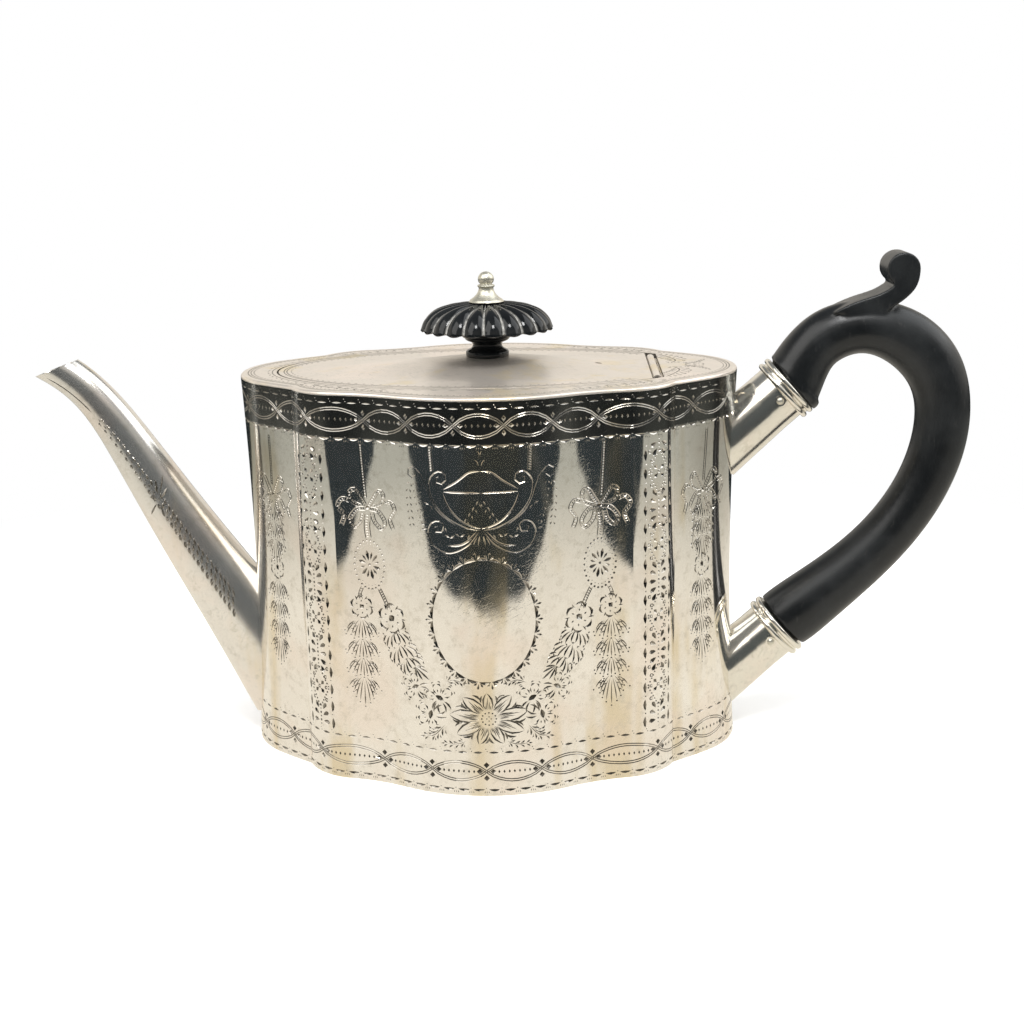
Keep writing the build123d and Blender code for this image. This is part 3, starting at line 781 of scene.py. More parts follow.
# ---- materials -------------------------------------------------------------------------------------
class Nodes:
    """Short way to wire a node tree."""

    def __init__(self, owner):
        owner.use_nodes = True
        self.owner, self.tree = owner, owner.node_tree
        self.tree.nodes.clear()

    def new(self, kind, values=None, **settings):
        node = self.tree.nodes.new("ShaderNode" + kind)
        for key, value in settings.items():
            setattr(node, key, value)
        for key, value in (values or {}).items():
            if isinstance(value, bpy.types.NodeSocket):
                self.tree.links.new(value, node.inputs[key])
            else:
                node.inputs[key].default_value = value
        return node

    def finish(self, values):
        """Ends the tree in a principled shader and gives back the material."""
        shader = self.new("BsdfPrincipled", values)
        self.new("OutputMaterial", {"Surface": shader.outputs[0]})
        return self.owner

    def math(self, op, a, b=0.0, clamp=False):
        return self.new("Math", {0: a, 1: b}, operation=op, use_clamp=clamp).outputs[0]

    def times(self, a, b, clamp=False):
        return self.math("MULTIPLY", a, b, clamp)

    def plus(self, a, b, clamp=False):
        return self.math("ADD", a, b, clamp)

    def minus(self, a, b):
        return self.math("SUBTRACT", a, b)

    def mix(self, factor, a, b):
        return self.new("Mix", {0: factor, 6: a, 7: b}, data_type="RGBA").outputs[2]

    def ramp(self, value, low, high, out_low=0.0, out_high=1.0):
        values = {0: value, 1: low, 2: high, 3: out_low, 4: out_high}
        return self.new("MapRange", values, interpolation_type="SMOOTHSTEP").outputs[0]

    def noise(self, vector, scale, detail=3.0, rough=0.55):
        values = {"Vector": vector, "Scale": scale, "Detail": detail, "Roughness": rough}
        return self.new("TexNoise", values).outputs[0]

    def split(self, vector):
        return self.new("SeparateXYZ", {0: vector}).outputs

    def stretched(self, vector, sx, sy, sz, turn=None):
        """Coordinates turned first and then scaled along each axis."""
        if turn:
            vector = self.new("Mapping", {"Vector": vector, "Rotation": turn}).outputs[0]
        return self.new("Mapping", {"Vector": vector, "Scale": (sx, sy, sz)}).outputs[0]


STAIN, ROSY, HAZE = (0.76, 0.65, 0.45, 1), (0.9, 0.78, 0.69, 1), (0.6, 0.56, 0.49, 1)
# The next colour darkens the rounded ends.
END_DARKENING = (0.33, 0.31, 0.26, 1)
# The first colour on the next line is painted dark reflection for the upper band's ground.
BAND_DARK_REFLECTION, DIRT, HAIRLINE = (0.075, 0.08, 0.076, 1), (0.13, 0.115, 0.09, 1), (0.46, 0.43, 0.38, 1)
HAIRLINE_FINE, HAIRLINE_LONG = 2500, 85         # how closely hairlines lie, and how closely they follow on
HAIRLINE_TURNS = [((0.0, -0.52, 0.0), 1.0), ((0.2, -1.15, 0.0), 1.3), ((1.45, 0.4, 0.3), 0.9)]
CLEAN_ABOVE = (0.052, 0.078)                    # heights between which the dirt in shallow cuts thins out


def silver(name, tint=(0.92, 0.885, 0.83), rough=0.035, streaks=1.0, scratches=1.0, band=False, metal=1.0):
    """Old silver: stains that run down, cloudy haze, hairlines, soft dents, and dirt in the cuts.
    With band, the rounded ends darkened more towards the top, and painted dark reflection on the ground of
    the upper band."""
    t = Nodes(bpy.data.materials.new(name))
    co = t.new("TexCoord").outputs["Object"]
    cut = t.new("Attribute", attribute_name="cut").outputs["Fac"]
    cloud = t.noise(t.stretched(co, 60, 60, 26), 1.0, 4)
    streak = t.noise(t.stretched(co, 62, 62, 5), 1.0, 3)
    stain = t.times(t.ramp(streak, 0.52, 0.64), t.ramp(cloud, 0.4, 0.6))
    base = t.mix(t.times(stain, 0.8 * streaks), (*tint, 1), STAIN)
    pink = t.times(t.ramp(t.noise(co, 38.0, 3), 0.5, 0.66), 0.45)
    base = t.mix(pink, base, ROSY)
    haze = t.ramp(t.noise(co, 330.0, 6, 0.7), 0.48, 0.72, 0, 0.5)
    base = t.mix(haze, base, HAZE)
    if band:
        height = t.split(co)[2]
        aside = t.math("ABSOLUTE", t.split(co)[0])
        # The rounded ends are darkened, more towards the top, in patches.
        end_darkening = t.times(t.ramp(aside, 0.052, 0.064), t.ramp(height, 0.045, 0.092, 0, 0.55))
        base = t.mix(t.times(end_darkening, t.ramp(cloud, 0.3, 0.6, 0.6, 1.0)), base, END_DARKENING)
        # Painted dark reflection: the upper band's ground between the cuts is darkened in patches and made
        # rougher; the cuts stay clean.
        band_dark_reflection = t.times(t.ramp(height, 0.0990, 0.0999), t.ramp(cloud, 0.25, 0.6, 0.86, 0.97))
        band_dark_reflection = t.times(band_dark_reflection, t.minus(1.0, cut))
        base = t.mix(band_dark_reflection, base, BAND_DARK_REFLECTION)
        rough = t.plus(rough, t.times(band_dark_reflection, 0.2))
    high = t.ramp(t.split(co)[2], *CLEAN_ABOVE, 0.0, 1.0 if band else 0.0)
    full = t.ramp(cut, 0.2, 0.45)
    deep = t.math("MAXIMUM", t.ramp(cut, 0.3, 0.95), t.ramp(cut, 0.0, 0.2, 0.0, 0.4))
    filled = t.plus(full, t.times(high, t.minus(deep, full)))
    dirt = t.times(filled, t.ramp(t.noise(co, 420.0, 3), 0.3, 0.6, 0.7, 0.95))
    base = t.mix(dirt, base, DIRT)
    lines = []
    for turn, scale in HAIRLINE_TURNS:
        v = t.stretched(co, HAIRLINE_FINE * scale, HAIRLINE_FINE * scale, HAIRLINE_LONG * scale, turn)
        lines.append(t.ramp(t.noise(v, 1.0, 2), 0.57, 0.8, 0, 0.7))
    marks = t.plus(t.plus(lines[0], lines[1]), lines[2])
    patch = t.ramp(t.noise(co, 28.0, 2), 0.38, 0.62, 0.25, 1.0)
    marks = t.times(marks, patch)
    base = t.mix(t.times(marks, 0.34 * scratches, True), base, HAIRLINE)
    r = t.plus(rough, t.ramp(cloud, 0.35, 0.8, 0, 0.05))
    r = t.plus(r, t.times(marks, 0.04 * scratches))
    r = t.plus(r, t.times(stain, 0.05 * streaks))
    r = t.plus(r, t.times(cut, 0.1), clamp=True)
    dents = t.noise(co, 34.0, 2, 0.4)
    height = t.plus(t.times(marks, 0.35 * scratches), t.times(dents, 6.0))
    bump = t.new("Bump", {"Strength": 0.4, "Distance": 0.00003, "Height": height}).outputs[0]
    return t.finish({"Base Color": base, "Metallic": metal, "Roughness": r, "Normal": bump})


def black_wood(name, rough=0.34, grain=1.0, worn=0.0, shine=0.45):
    """Stained wood with fine pores along Z. Worn wood is rubbed pale on its ridges."""
    t = Nodes(bpy.data.materials.new(name))
    co = t.new("TexCoord").outputs["Object"]
    pores = t.noise(t.stretched(co, 900, 900, 260), 1.0, 4, 0.6)
    broad = t.noise(co, 60.0, 4)
    base = t.mix(t.ramp(broad, 0.35, 0.75), (0.004, 0.0048, 0.0054, 1), (0.011, 0.0125, 0.0135, 1))
    base = t.mix(t.ramp(pores, 0.6, 0.8, 0, 0.6 * grain), base, (0.03, 0.03, 0.028, 1))
    if worn:
        groove = t.new("Attribute", attribute_name="cut").outputs["Fac"]
        patchy = t.ramp(t.noise(co, 700.0, 3), 0.3, 0.6, 0.25, worn)
        base = t.mix(t.times(t.ramp(groove, 0.55, 0.95), patchy), base, (0.42, 0.41, 0.38, 1))
    r = t.plus(rough, t.ramp(broad, 0.3, 0.8, -0.06, 0.1))
    r = t.plus(r, t.ramp(pores, 0.55, 0.8, 0, 0.12 * grain))
    height = t.plus(t.times(pores, 0.7), t.times(broad, 1.5))
    bump = t.new("Bump", {"Strength": 0.25 * grain, "Distance": 0.00015, "Height": height}).outputs[0]
    return t.finish({"Base Color": base, "Roughness": r, "Normal": bump, "Specular IOR Level": shine})


WALL_SILVER = silver("engraved_silver", band=True, metal=0.985)
TOP_SILVER = silver("worn_silver", tint=(0.74, 0.675, 0.6), rough=0.31, scratches=2.2, metal=0.75)
PLAIN_SILVER = silver("plain_silver", tint=(0.83, 0.8, 0.72), rough=0.15, metal=0.965)
SPOUT_SILVER = silver("spout_silver", tint=(0.84, 0.81, 0.76), rough=0.2, streaks=0.8, metal=0.94)
INNER_SILVER = silver("inner_silver", tint=(0.72, 0.68, 0.6), rough=0.3, streaks=1.5)
NICKEL = silver("nickel_silver", tint=(0.62, 0.6, 0.5), rough=0.33, streaks=0.5, metal=0.85)
WOOD = black_wood("ebonised_wood")
EBONY = black_wood("ebony", rough=0.13, grain=0.4, shine=0.35)
WORN_EBONY = black_wood("worn_ebony", rough=0.13, grain=0.4, worn=0.8, shine=0.35)


# ---- body wall -------------------------------------------------------------------------------------
STRAINER_ROWS, STRAINER_PITCH, STRAINER_Z, STRAINER_RADIUS = 7, 5.4, 32.0, 1.3
WALL_ROWS = [0.0, 14.0, 56.0, 98.0, WALL_TOP]       # heights at which each panel's mesh is divided
STEP_ROUND, STEP_UP = 1.8, 5                        # spacing of the mesh's free points
HOLE_SIDES = 20
U_DROP = U_CUSP + 0.34 * (QUARTER - U_CUSP)


def wall_cuts():
    """All the engraving of the wall."""
    k = Cuts()
    k.placed(band(104.6, 3.0, 6.75, 13.4, 109.1, 99.4, False))
    k.placed(band(7.3, 2.7, 0.0, 15.6, 12.9, 2.0, True))
    panel = front_panel()
    for u in (FRONT, BACK):
        k.placed(panel, (u, 0))
    for motif, aside in ((pilaster(), U_PILASTER), (end_drop(), U_DROP)):
        for u in (aside, BACK - aside, BACK + aside, GIRTH - aside):
            k.placed(motif, (u, 0))
    return k.items


def near_box(items, low, high, z0, z1):
    """Cuts that touch a panel, moved by a whole girth where that brings them onto it."""
    kept = []
    for p, w in items:
        reach = w.max()
        if p[:, 1].max() + reach < z0 or p[:, 1].min() - reach > z1:
            continue
        for shift in (-GIRTH, 0, GIRTH):
            q = p + (shift, 0)
            if q[:, 0].max() + reach > low and q[:, 0].min() - reach < high:
                kept.append((q, w))
    return kept


def box_loop(low, high, z0, z1, us, zs):
    """Border of one rectangle of the flat pattern."""
    return ([(u, z0) for u in us] + [(high, z) for z in zs[1:]] + [(u, z1) for u in us[::-1][1:]]
            + [(low, z) for z in zs[::-1][1:-1]])


def strainer_loops():
    """Outlines of the holes behind the spout, on the flat pattern of the wall."""
    loops = []
    turn = 2 * math.pi * np.arange(HOLE_SIDES) / HOLE_SIDES
    circle = STRAINER_RADIUS * np.stack([np.cos(turn), np.sin(turn)], -1)
    for row in range(STRAINER_ROWS):
        z = STRAINER_Z + (row - (STRAINER_ROWS - 1) / 2) * STRAINER_PITCH
        for step in ((-1, 0, 1) if row % 2 else (-0.5, 0.5)):
            loops.append(circle + (SPOUT_END + step * STRAINER_PITCH, z))
    return loops


def inset_wall(u, z, inset):
    """Points and outward normals round the wall, moved inwards by inset, at one height or one for each u."""
    u = np.asarray(u, float)
    z = np.full(len(u), z, float)
    d = wall_point(u + 0.04, z) - wall_point(u - 0.04, z)
    n = unit(np.stack([d[:, 1], -d[:, 0], 0 * d[:, 0]], -1))
    return wall_point(u, z) - n * inset, n


def inner_wall(p):
    """Inner face of the wall, with its normals still pointing out."""
    return inset_wall(*p.T, SHEET)


def make_wall():
    """The engraved outside with the bores of the strainer holes, and the plain lining."""
    sheet, lining, items = Sheet(), Sheet(), wall_cuts()
    for low, high in zip(KINKS, KINKS[1:]):
        surface = wall_surface(low, high)
        us = np.linspace(low, high, round((high - low) / STEP_ROUND) + 1)
        for z0, z1 in zip(WALL_ROWS, WALL_ROWS[1:]):
            zs = np.linspace(z0, z1, max(2, round((z1 - z0) / STEP_UP) + 1))
            grid = np.array([(u, z) for u in us[1:-1] for z in zs[1:-1]])
            holes = strainer_loops() if low < SPOUT_END < high and z0 < STRAINER_Z < z1 else []
            clear = np.ones(len(grid), bool)
            for hole in holes:
                clear &= np.linalg.norm(grid - hole.mean(0), axis=1) > STRAINER_RADIUS + 0.4

            def inside(m):
                keep = (m[:, 0] > low) & (m[:, 0] < high) & (m[:, 1] > z0) & (m[:, 1] < z1)
                for hole in holes:
                    keep &= np.linalg.norm(m - hole.mean(0), axis=1) > STRAINER_RADIUS * 0.985
                return keep

            borders = [box_loop(low, high, z0, z1, us, zs)] + holes
            sheet.add(*engrave(near_box(items, low, high, z0, z1), borders, inside, grid[clear], surface))
            lining.add(*engrave([], borders, inside, grid[clear], inner_wall), flip=True)
            for hole in holes:
                ends = [face(hole)[0] for face in (surface, inner_wall)]
                bore = unit(ends[0].mean(0) - ends[0])
                sheet.strip(ends, [bore, bore])
    for z, up in ((0.0, -1), (WALL_TOP, 1)):
        ends = [inset_wall(RING, z, inset)[0] for inset in (0, SHEET)]
        sheet.strip(ends, np.tile((0, 0, up), (2, len(RING), 1)), flip=up < 0)
    return sheet, lining


def places_round():
    """Places round the girth, with every kink among them."""
    stops = [FRONT] + KINKS[1:] + [GIRTH]
    us = [np.linspace(a, b, round((b - a) / STEP_ROUND) + 1)[:-1] for a, b in zip(stops, stops[1:])]
    return np.concatenate(us)


RING = places_round()
wall, lining = make_wall()
wall.build("engraved_wall", WALL_SILVER, "pot", "silver", "body_wall")
lining.build("wall_lining", INNER_SILVER, "pot", "silver")


# ---- deck and lid ----------------------------------------------------------------------------------
RIM_POINTS = 200                # points round an ellipse that guides cuts
# How dark the edge faces of the lid opening and the lid's bevelled edge are made, through the cut attribute.
SEAM_DARKENING, LID_EDGE_DARKENING = 1.0, 0.85
VENT_X, VENT_RADIUS, VENT_SIDES = 32.4, 1.1, 16
LID_SHEET = 1.0


def edge_normals(loop):
    """Level normals of a closed loop's sides, to the left of its run."""
    side = np.diff(np.vstack([loop, loop[:1]]), axis=0)
    return unit(np.stack([-side[:, 1], side[:, 0], 0 * side[:, 0]], -1))


def level(loop, z):
    """Flat points put at height z."""
    return np.column_stack([loop, np.full(len(loop), z)])


def flat_surface(z):
    """Surface function of a level sheet."""
    return lambda p: (level(p, z), np.tile((0.0, 0.0, 1.0), (len(p), 1)))


def dome_surface(lift=0.0):
    """Top of the lid: flat border and low ogee dome."""
    def surface(p):
        k = LID_B / LID_A
        r = np.sqrt(p[:, 0] ** 2 + (p[:, 1] / k) ** 2)
        t = np.clip(r / DOME_EDGE, 0, 1)
        z = BODY_HEIGHT + DOME_RISE * (1 - 3 * t ** 2 + 2 * t ** 3) - lift
        slope = DOME_RISE * (-6 * t + 6 * t ** 2) / DOME_EDGE / np.maximum(r, 1e-6)
        n = np.stack([-slope * p[:, 0], -slope * p[:, 1] / k ** 2, np.ones(len(p))], -1)
        return np.column_stack([p, z]), unit(n)
    return surface


def in_loop(points, loop):
    """Even-odd test of points against a closed loop."""
    inside = np.zeros(len(points), bool)
    x, y = points[:, 0], points[:, 1]
    for (x0, y0), (x1, y1) in zip(loop, np.roll(loop, -1, 0)):
        crosses = (y0 > y) != (y1 > y)
        if y0 != y1:
            inside ^= crosses & (x < (x1 - x0) * (y - y0) / (y1 - y0) + x0)
    return inside


def ellipse_arc(grow, x_cut, n=RIM_POINTS):
    """The lid's ellipse, grown, from where x_cut cuts it off round to there again."""
    a, b = LID_A + grow, LID_B + grow
    top = math.acos(x_cut / a)
    angles = np.linspace(top, 2 * math.pi - top, n)
    return np.stack([a * np.cos(angles), b * np.sin(angles)], -1)


def ellipse_loop(grow, x_cut):
    """The same ellipse closed along x_cut."""
    arc = ellipse_arc(grow, x_cut, 180)
    chord = np.stack([np.full(25, x_cut), np.linspace(arc[-1, 1], arc[0, 1], 27)[1:-1]], -1)
    return np.vstack([arc, chord])


def deck_cuts():
    """Two lines and a row of dashes along the rim, a scalloped line round the opening, leaves between."""
    k = Cuts()
    n = round(GIRTH / 1.9)
    for inset, w in ((2.2, 0.2), (3.0, 0.17)):
        p = inset_wall(RING, WALL_TOP, inset)[0][:, :2]
        p = np.vstack([p, p[:1]])
        k.add(p, np.full(len(p), w))
    for i in range(n):
        p = inset_wall([GIRTH * i / n, GIRTH * (i + 0.55) / n], WALL_TOP, 3.9)[0][:, :2]
        k.leaf(p[0], p[1], 0.34)
        k.dot(p[1] + (p[1] - p[0]) * 0.42, 0.18)
    loop = ellipse_arc(1.6, DECK_EDGE_X + 1.2)
    k.line(loop[::4], 0.18)
    for i in range(0, len(loop) - 3, 3):
        out = loop[i] / np.linalg.norm(loop[i])
        k.leaf(loop[i] + out * 0.6, loop[i + 2] + out * 1.3, 0.26, -0.15)
    long_stem = np.array([(48.0, 28.0), (41.5, 32.6), (34.0, 36.2), (26.0, 39.4)])
    for side in (-1, 1):
        leaf = np.array([(53.6, 3.0), (55.4, 8.6), (53.8, 15.0), (50.6, 22.0)])
        k.placed(acanthus(leaf * (1, side), 8, 3.4))
        k.placed(sprig(np.array([(56.6, 2.0), (61.4, 4.6), (63.6, 9.0)]) * (1, side), 5, 2.6, 0.34))
        k.placed(sprig(long_stem * (1, side), 9, 2.8, 0.34))
        k.placed(sprig(long_stem * (-1, side), 9, 2.6, 0.32))
    k.placed(rose((60.4, 0), 3.0))
    return k.items


def lid_cuts():
    """Two lines and a row of dashes along the lid's edge."""
    k = Cuts()
    for grow in (-1.8, -2.6):
        k.line(ellipse_arc(grow, LID_EDGE_X - 0.8)[::4], 0.2)
    loop = smooth(ellipse_arc(-3.9, LID_EDGE_X - 2.2)[::4], 1.2)
    for i in range(0, len(loop) - 1, 2):
        k.leaf(loop[i], loop[i + 1], 0.3)
    return k.items


def pierced(items, rim, hole, step, surface):
    """Engraved sheet inside rim and outside hole, with free points step apart, or none."""
    def inside(m):
        return in_loop(m, rim) & ~in_loop(m, hole)

    free = []
    if step:
        low, high = rim.min(0), rim.max(0)
        axes = [np.arange(low[i], high[i], step) for i in (0, 1)]
        free = np.stack(np.meshgrid(*axes), -1).reshape(-1, 2)
        free = free[inside(free)]
    return engrave(items, [rim, hole], inside, free, surface)


def make_deck():
    """Flat top with a rounded rim and the lid opening."""
    sheet = Sheet()
    edge = 0.9
    outer, normal = inset_wall(RING, WALL_TOP, 0)
    rim = outer[:, :2] - normal[:, :2] * edge
    hole = ellipse_loop(0.35, DECK_EDGE_X)
    sheet.add(*pierced(deck_cuts(), rim, hole, 4.0, flat_surface(BODY_HEIGHT)))
    rows, normals = [], []
    for a in np.linspace(0, math.pi / 2, 7):
        rows.append(level(rim + normal[:, :2] * edge * math.sin(a), BODY_HEIGHT - edge * (1 - math.cos(a))))
        normals.append(normal * math.sin(a) + np.array([0, 0, 1]) * math.cos(a))
    rows.append(level(outer[:, :2], WALL_TOP))
    normals.append(normal)
    sheet.strip(rows, normals, flip=True)
    sheet.add(*pierced([], outer[:, :2], hole, None, flat_surface(WALL_TOP)), flip=True)
    n = edge_normals(hole)
    # The edge faces of the opening are darkened.
    sheet.strip([level(hole, z) for z in (BODY_HEIGHT, WALL_TOP)], [n, n], darkening=SEAM_DARKENING)
    return sheet


def make_lid():
    """Low dome with a small bevel at its edge and the steam hole."""
    sheet = Sheet()
    edge = 0.25
    full = ellipse_loop(0, LID_EDGE_X)
    rim = ellipse_loop(-edge, LID_EDGE_X - edge)
    angles = np.linspace(0, 2 * math.pi, VENT_SIDES + 1)[:-1]
    vent = np.array([(VENT_X + VENT_RADIUS * math.cos(a), VENT_RADIUS * math.sin(a)) for a in angles])
    top, under = dome_surface(), dome_surface(LID_SHEET)
    sheet.add(*pierced(lid_cuts(), rim, vent, 2.0, top))
    sheet.add(*pierced([], full, vent, 5.0, under), flip=True)
    n = -edge_normals(full)
    rows = [level(rim, BODY_HEIGHT), level(full, BODY_HEIGHT - edge), level(full, WALL_TOP)]
    # The lid's bevel and edge are darkened.
    sheet.strip(rows, [n * 0.7 + np.array([0, 0, 0.7]), n, n], flip=True, darkening=LID_EDGE_DARKENING)
    bore = np.stack([vent[:, 0] - VENT_X, vent[:, 1], 0 * vent[:, 0]], -1) / -VENT_RADIUS
    sheet.strip([top(vent)[0], under(vent)[0]], [bore, bore])
    return sheet


make_deck().build("engraved_deck", TOP_SILVER, "pot", "silver", "deck_plate")
make_lid().build("engraved_lid", TOP_SILVER, "lid", "silver", "lid_plate")


# ---- spout -----------------------------------------------------------------------------------------
# Along the middle line: x, z, direction of the cross-section in degrees, its depth and its width.
SPOUT_STATIONS = [
    (-62.0, 13.5, 120.6, 29.5, 23.0), (-77.0, 38.6, 120.6, 24.6, 19.0), (-94.9, 68.0, 120.6, 18.6, 15.0),
    (-108.6, 91.6, 121.5, 14.2, 12.0), (-116.2, 103.0, 128.5, 12.3, 10.8), (-124.6, 111.2, 144.0, 11.4, 10.0),
    (-133.5, 116.6, 150.0, 11.0, 9.4),
]
SPOUT_LENGTH = 120.0
SPOUT_WRAP = 7.0            # radius that turns angles round the spout into distances on its flat pattern
SPOUT_TURN = 2 * math.pi * SPOUT_WRAP
SPOUT_EASE = 0.2            # how far the visible outside stays inside the solid's
SPOUT_SIDES, FINE = 64, 500
MOUTH_TILT = 0.349
MOUTH_POINT = np.array([-126.5, 0, 113.9])
MOUTH_NORMAL = np.array([-math.sin(MOUTH_TILT), 0, math.cos(MOUTH_TILT)])


def natural_spline(knots, values, at):
    """Cubic spline with free ends through values at knots."""
    n, h = len(knots), np.diff(knots)
    m = np.eye(n)
    rhs = np.zeros_like(values)
    slope = np.diff(values, axis=0) / h[:, None]
    for i in range(1, n - 1):
        m[i, i - 1:i + 2] = h[i - 1], 2 * (h[i - 1] + h[i]), h[i]
        rhs[i] = 6 * (slope[i] - slope[i - 1])
    curve = np.linalg.solve(m, rhs)
    i = np.clip(np.searchsorted(knots, at) - 1, 0, n - 2)
    t, w = at - knots[i], h[i]
    b = slope[i] - w[:, None] * (2 * curve[i] + curve[i + 1]) / 6
    return (values[i] + b * t[:, None] + curve[i] * (t ** 2)[:, None] / 2
            + (curve[i + 1] - curve[i]) * (t ** 3 / (6 * w))[:, None])


def spout_table(inset):
    """Fine stations of the spout, and for every angle where it starts and ends."""
    s = np.array(SPOUT_STATIONS)
    knots = np.concatenate([[0], np.cumsum(np.hypot(*np.diff(s[:, :2], axis=0).T))])
    at = np.linspace(0, knots[-1], FINE)
    table = natural_spline(knots, s, at)
    angles = np.linspace(0, 2 * math.pi, 181)
    first, last = [], []
    for a in angles:
        p = tube_point(table, np.full(FINE, a), np.linspace(0, 1, FINE), inset)
        middle = WALL_TOP / 2
        half = TOP_HALF + (WAIST_HALF - TOP_HALF) * np.clip(1 - np.abs(p[:, 2] - middle) / middle, 0, 1)
        out = np.hypot(p[:, 0] + half - END_RADIUS, p[:, 1]) - END_RADIUS + 0.5
        first.append(np.argmax(out > 0) / (FINE - 1))
        last.append(np.argmax((p - MOUTH_POINT) @ MOUTH_NORMAL > 0) / (FINE - 1))
    return table, angles, np.array(first), np.array(last)


def tube_point(table, angle, t, inset):
    """Points of the spout at angle round it and share t along it."""
    k = t * (len(table) - 1)
    i = np.clip(k.astype(int), 0, len(table) - 2)
    row = table[i] + (table[i + 1] - table[i]) * (k - i)[:, None]
    a = np.radians(row[:, 2])
    deep = (row[:, 3] / 2 - inset) * np.cos(angle)
    wide = (row[:, 4] / 2 - inset) * np.sin(angle)
    return np.stack([row[:, 0] - np.sin(a) * deep, wide, row[:, 1] + np.cos(a) * deep], -1)


def spout_surface(inset):
    """Surface over the flat pattern of the spout: (distance round, distance from the root)."""
    table, angles, first, last = spout_table(inset)

    def place(p):
        angle = p[:, 0] / SPOUT_WRAP
        wrapped = angle % (2 * math.pi)
        a, b = np.interp(wrapped, angles, first), np.interp(wrapped, angles, last)
        return tube_point(table, angle, a + (b - a) * p[:, 1] / SPOUT_LENGTH, inset)

    def surface(p):
        du = place(p + (0.02, 0)) - place(p - (0.02, 0))
        dv = place(p + (0, 0.1)) - place(p - (0, 0.1))
        return place(p), unit(np.cross(du, dv))
    return surface


def spout_cuts():
    """Feather band with a star in it along each side of the spout, and a plain line on to the lip."""
    k, one = Cuts(), Cuts()
    scale = (SPOUT_WRAP, SPOUT_LENGTH)
    path = [(-1.72, 0.12), (-1.68, 0.25), (-1.62, 0.42), (-1.55, 0.58), (-1.42, 0.72), (-1.25, 0.82)]
    path = smooth(np.array(path) * scale, 0.5)
    gone, step = 0.0, 2.5
    for a, b in zip(path, path[1:]):
        gone += np.linalg.norm(b - a)
        if gone < step:
            continue
        gone = 0.0
        share = b[1] / SPOUT_LENGTH
        size = 2.2 - 0.8 * max(share - 0.2, 0)
        way = direction(b - a)
        for side in (-1, 1):
            foot, barb = polar(b, 0.5, way + side * 1.4), polar(b, 0.7, way + side * 2.0)
            one.leaf(foot, polar(b, size, way + side * 0.6), 0.42, side * 0.12, 0.6)
            one.leaf(barb, polar(b, 0.66 * size, way + side * 1.1), 0.26, side * 0.14)
        one.leaf(polar(b, 0.5, way), polar(b, 2.0, way), 0.6 if share < 0.52 else 0.26)
    star = (-11.0, 64.0)
    for a in (0.4, 1.2, 2.0, 2.9, 3.8, 4.9):
        one.leaf(polar(star, 1.0, a), polar(star, 4.6, a), 0.4, 0.08, 0.6)
    one.line(np.array([(-1.2, 0.84), (-1.06, 0.92), (-0.95, 0.985)]) * scale, 0.26)
    for mirror in (False, True):
        k.placed(one, (0 if mirror else SPOUT_TURN, 0), mirror)
    return k.items


def make_spout():
    """Engraved outside, plain inside, and the two ends."""
    sheet = Sheet()
    us, zs = np.linspace(0, SPOUT_TURN, SPOUT_SIDES + 1), np.linspace(0, SPOUT_LENGTH, 61)
    grid = [(u, z) for u in us[1:-1] for z in zs[1:-1]]
    outer, inner = spout_surface(SPOUT_EASE), spout_surface(SHEET)

    def inside(m):
        return ((m > 0) & (m < (SPOUT_TURN, SPOUT_LENGTH))).all(1)

    border = box_loop(0, SPOUT_TURN, 0, SPOUT_LENGTH, us, zs)
    sheet.add(*engrave(spout_cuts(), [border], inside, grid, outer), flip=True)
    rings = [inner(level(us[:-1], z)) for z in np.linspace(0, SPOUT_LENGTH, 31)]
    sheet.strip(*zip(*rings))
    for z, normal, flip in ((SPOUT_LENGTH, MOUTH_NORMAL, True), (0, (1.0, 0, 0), False)):
        ends = [face(level(us[:-1], z))[0] for face in (outer, inner)]
        sheet.strip(ends, np.tile(normal, (2, SPOUT_SIDES, 1)), flip=flip)
    return sheet


make_spout().build("engraved_spout", SPOUT_SILVER, "pot", "silver", "spout")


# ---- knob ------------------------------------------------------------------------------------------
PEDESTAL_HEIGHT, BUTTON_HEIGHT, BUTTON_RADIUS, STUD_RADIUS, LOBES = 6.4, 8.9, 19.4, 1.3, 20
BUTTON_BASE = LID_TOP + PEDESTAL_HEIGHT
BUTTON_TOP = BUTTON_BASE + BUTTON_HEIGHT


def turned(profile, sides, lobed=None):
    """Sheet turned about Z from (radius, height) points. lobed(angle, share along profile) gives how far
    the surface is sunk and how much of a groove it is."""
    r, z = np.array(profile, float).T
    a = 2 * math.pi * np.arange(sides) / sides
    d = unit(np.gradient(np.array(profile, float), axis=0))
    out = np.stack([-d[:, 1], d[:, 0]], -1)
    share = np.linspace(0, 1, len(r))
    sunk, groove = (np.zeros((len(r), sides)),) * 2 if lobed is None else lobed(a[None], share[:, None])
    rr = r[:, None] - out[:, :1] * sunk
    zz = z[:, None] - out[:, 1:] * sunk
    grid = np.stack([rr * np.cos(a), rr * np.sin(a), zz], -1)
    du = np.roll(grid, -1, 1) - np.roll(grid, 1, 1)
    dv = np.gradient(grid, axis=0)
    n = unit(np.cross(dv, du))
    i, j = np.meshgrid(np.arange(len(r) - 1), np.arange(sides), indexing="ij")
    p, q = i * sides + j, i * sides + (j + 1) % sides
    corners = [(p, p + sides, q + sides), (p, q + sides, q)]
    faces = np.concatenate([np.stack(c, -1).reshape(-1, 3) for c in corners])
    sheet = Sheet()
    sheet.add(grid.reshape(-1, 3), faces, n.reshape(-1, 3)[faces], groove.reshape(-1)[faces])
    return sheet


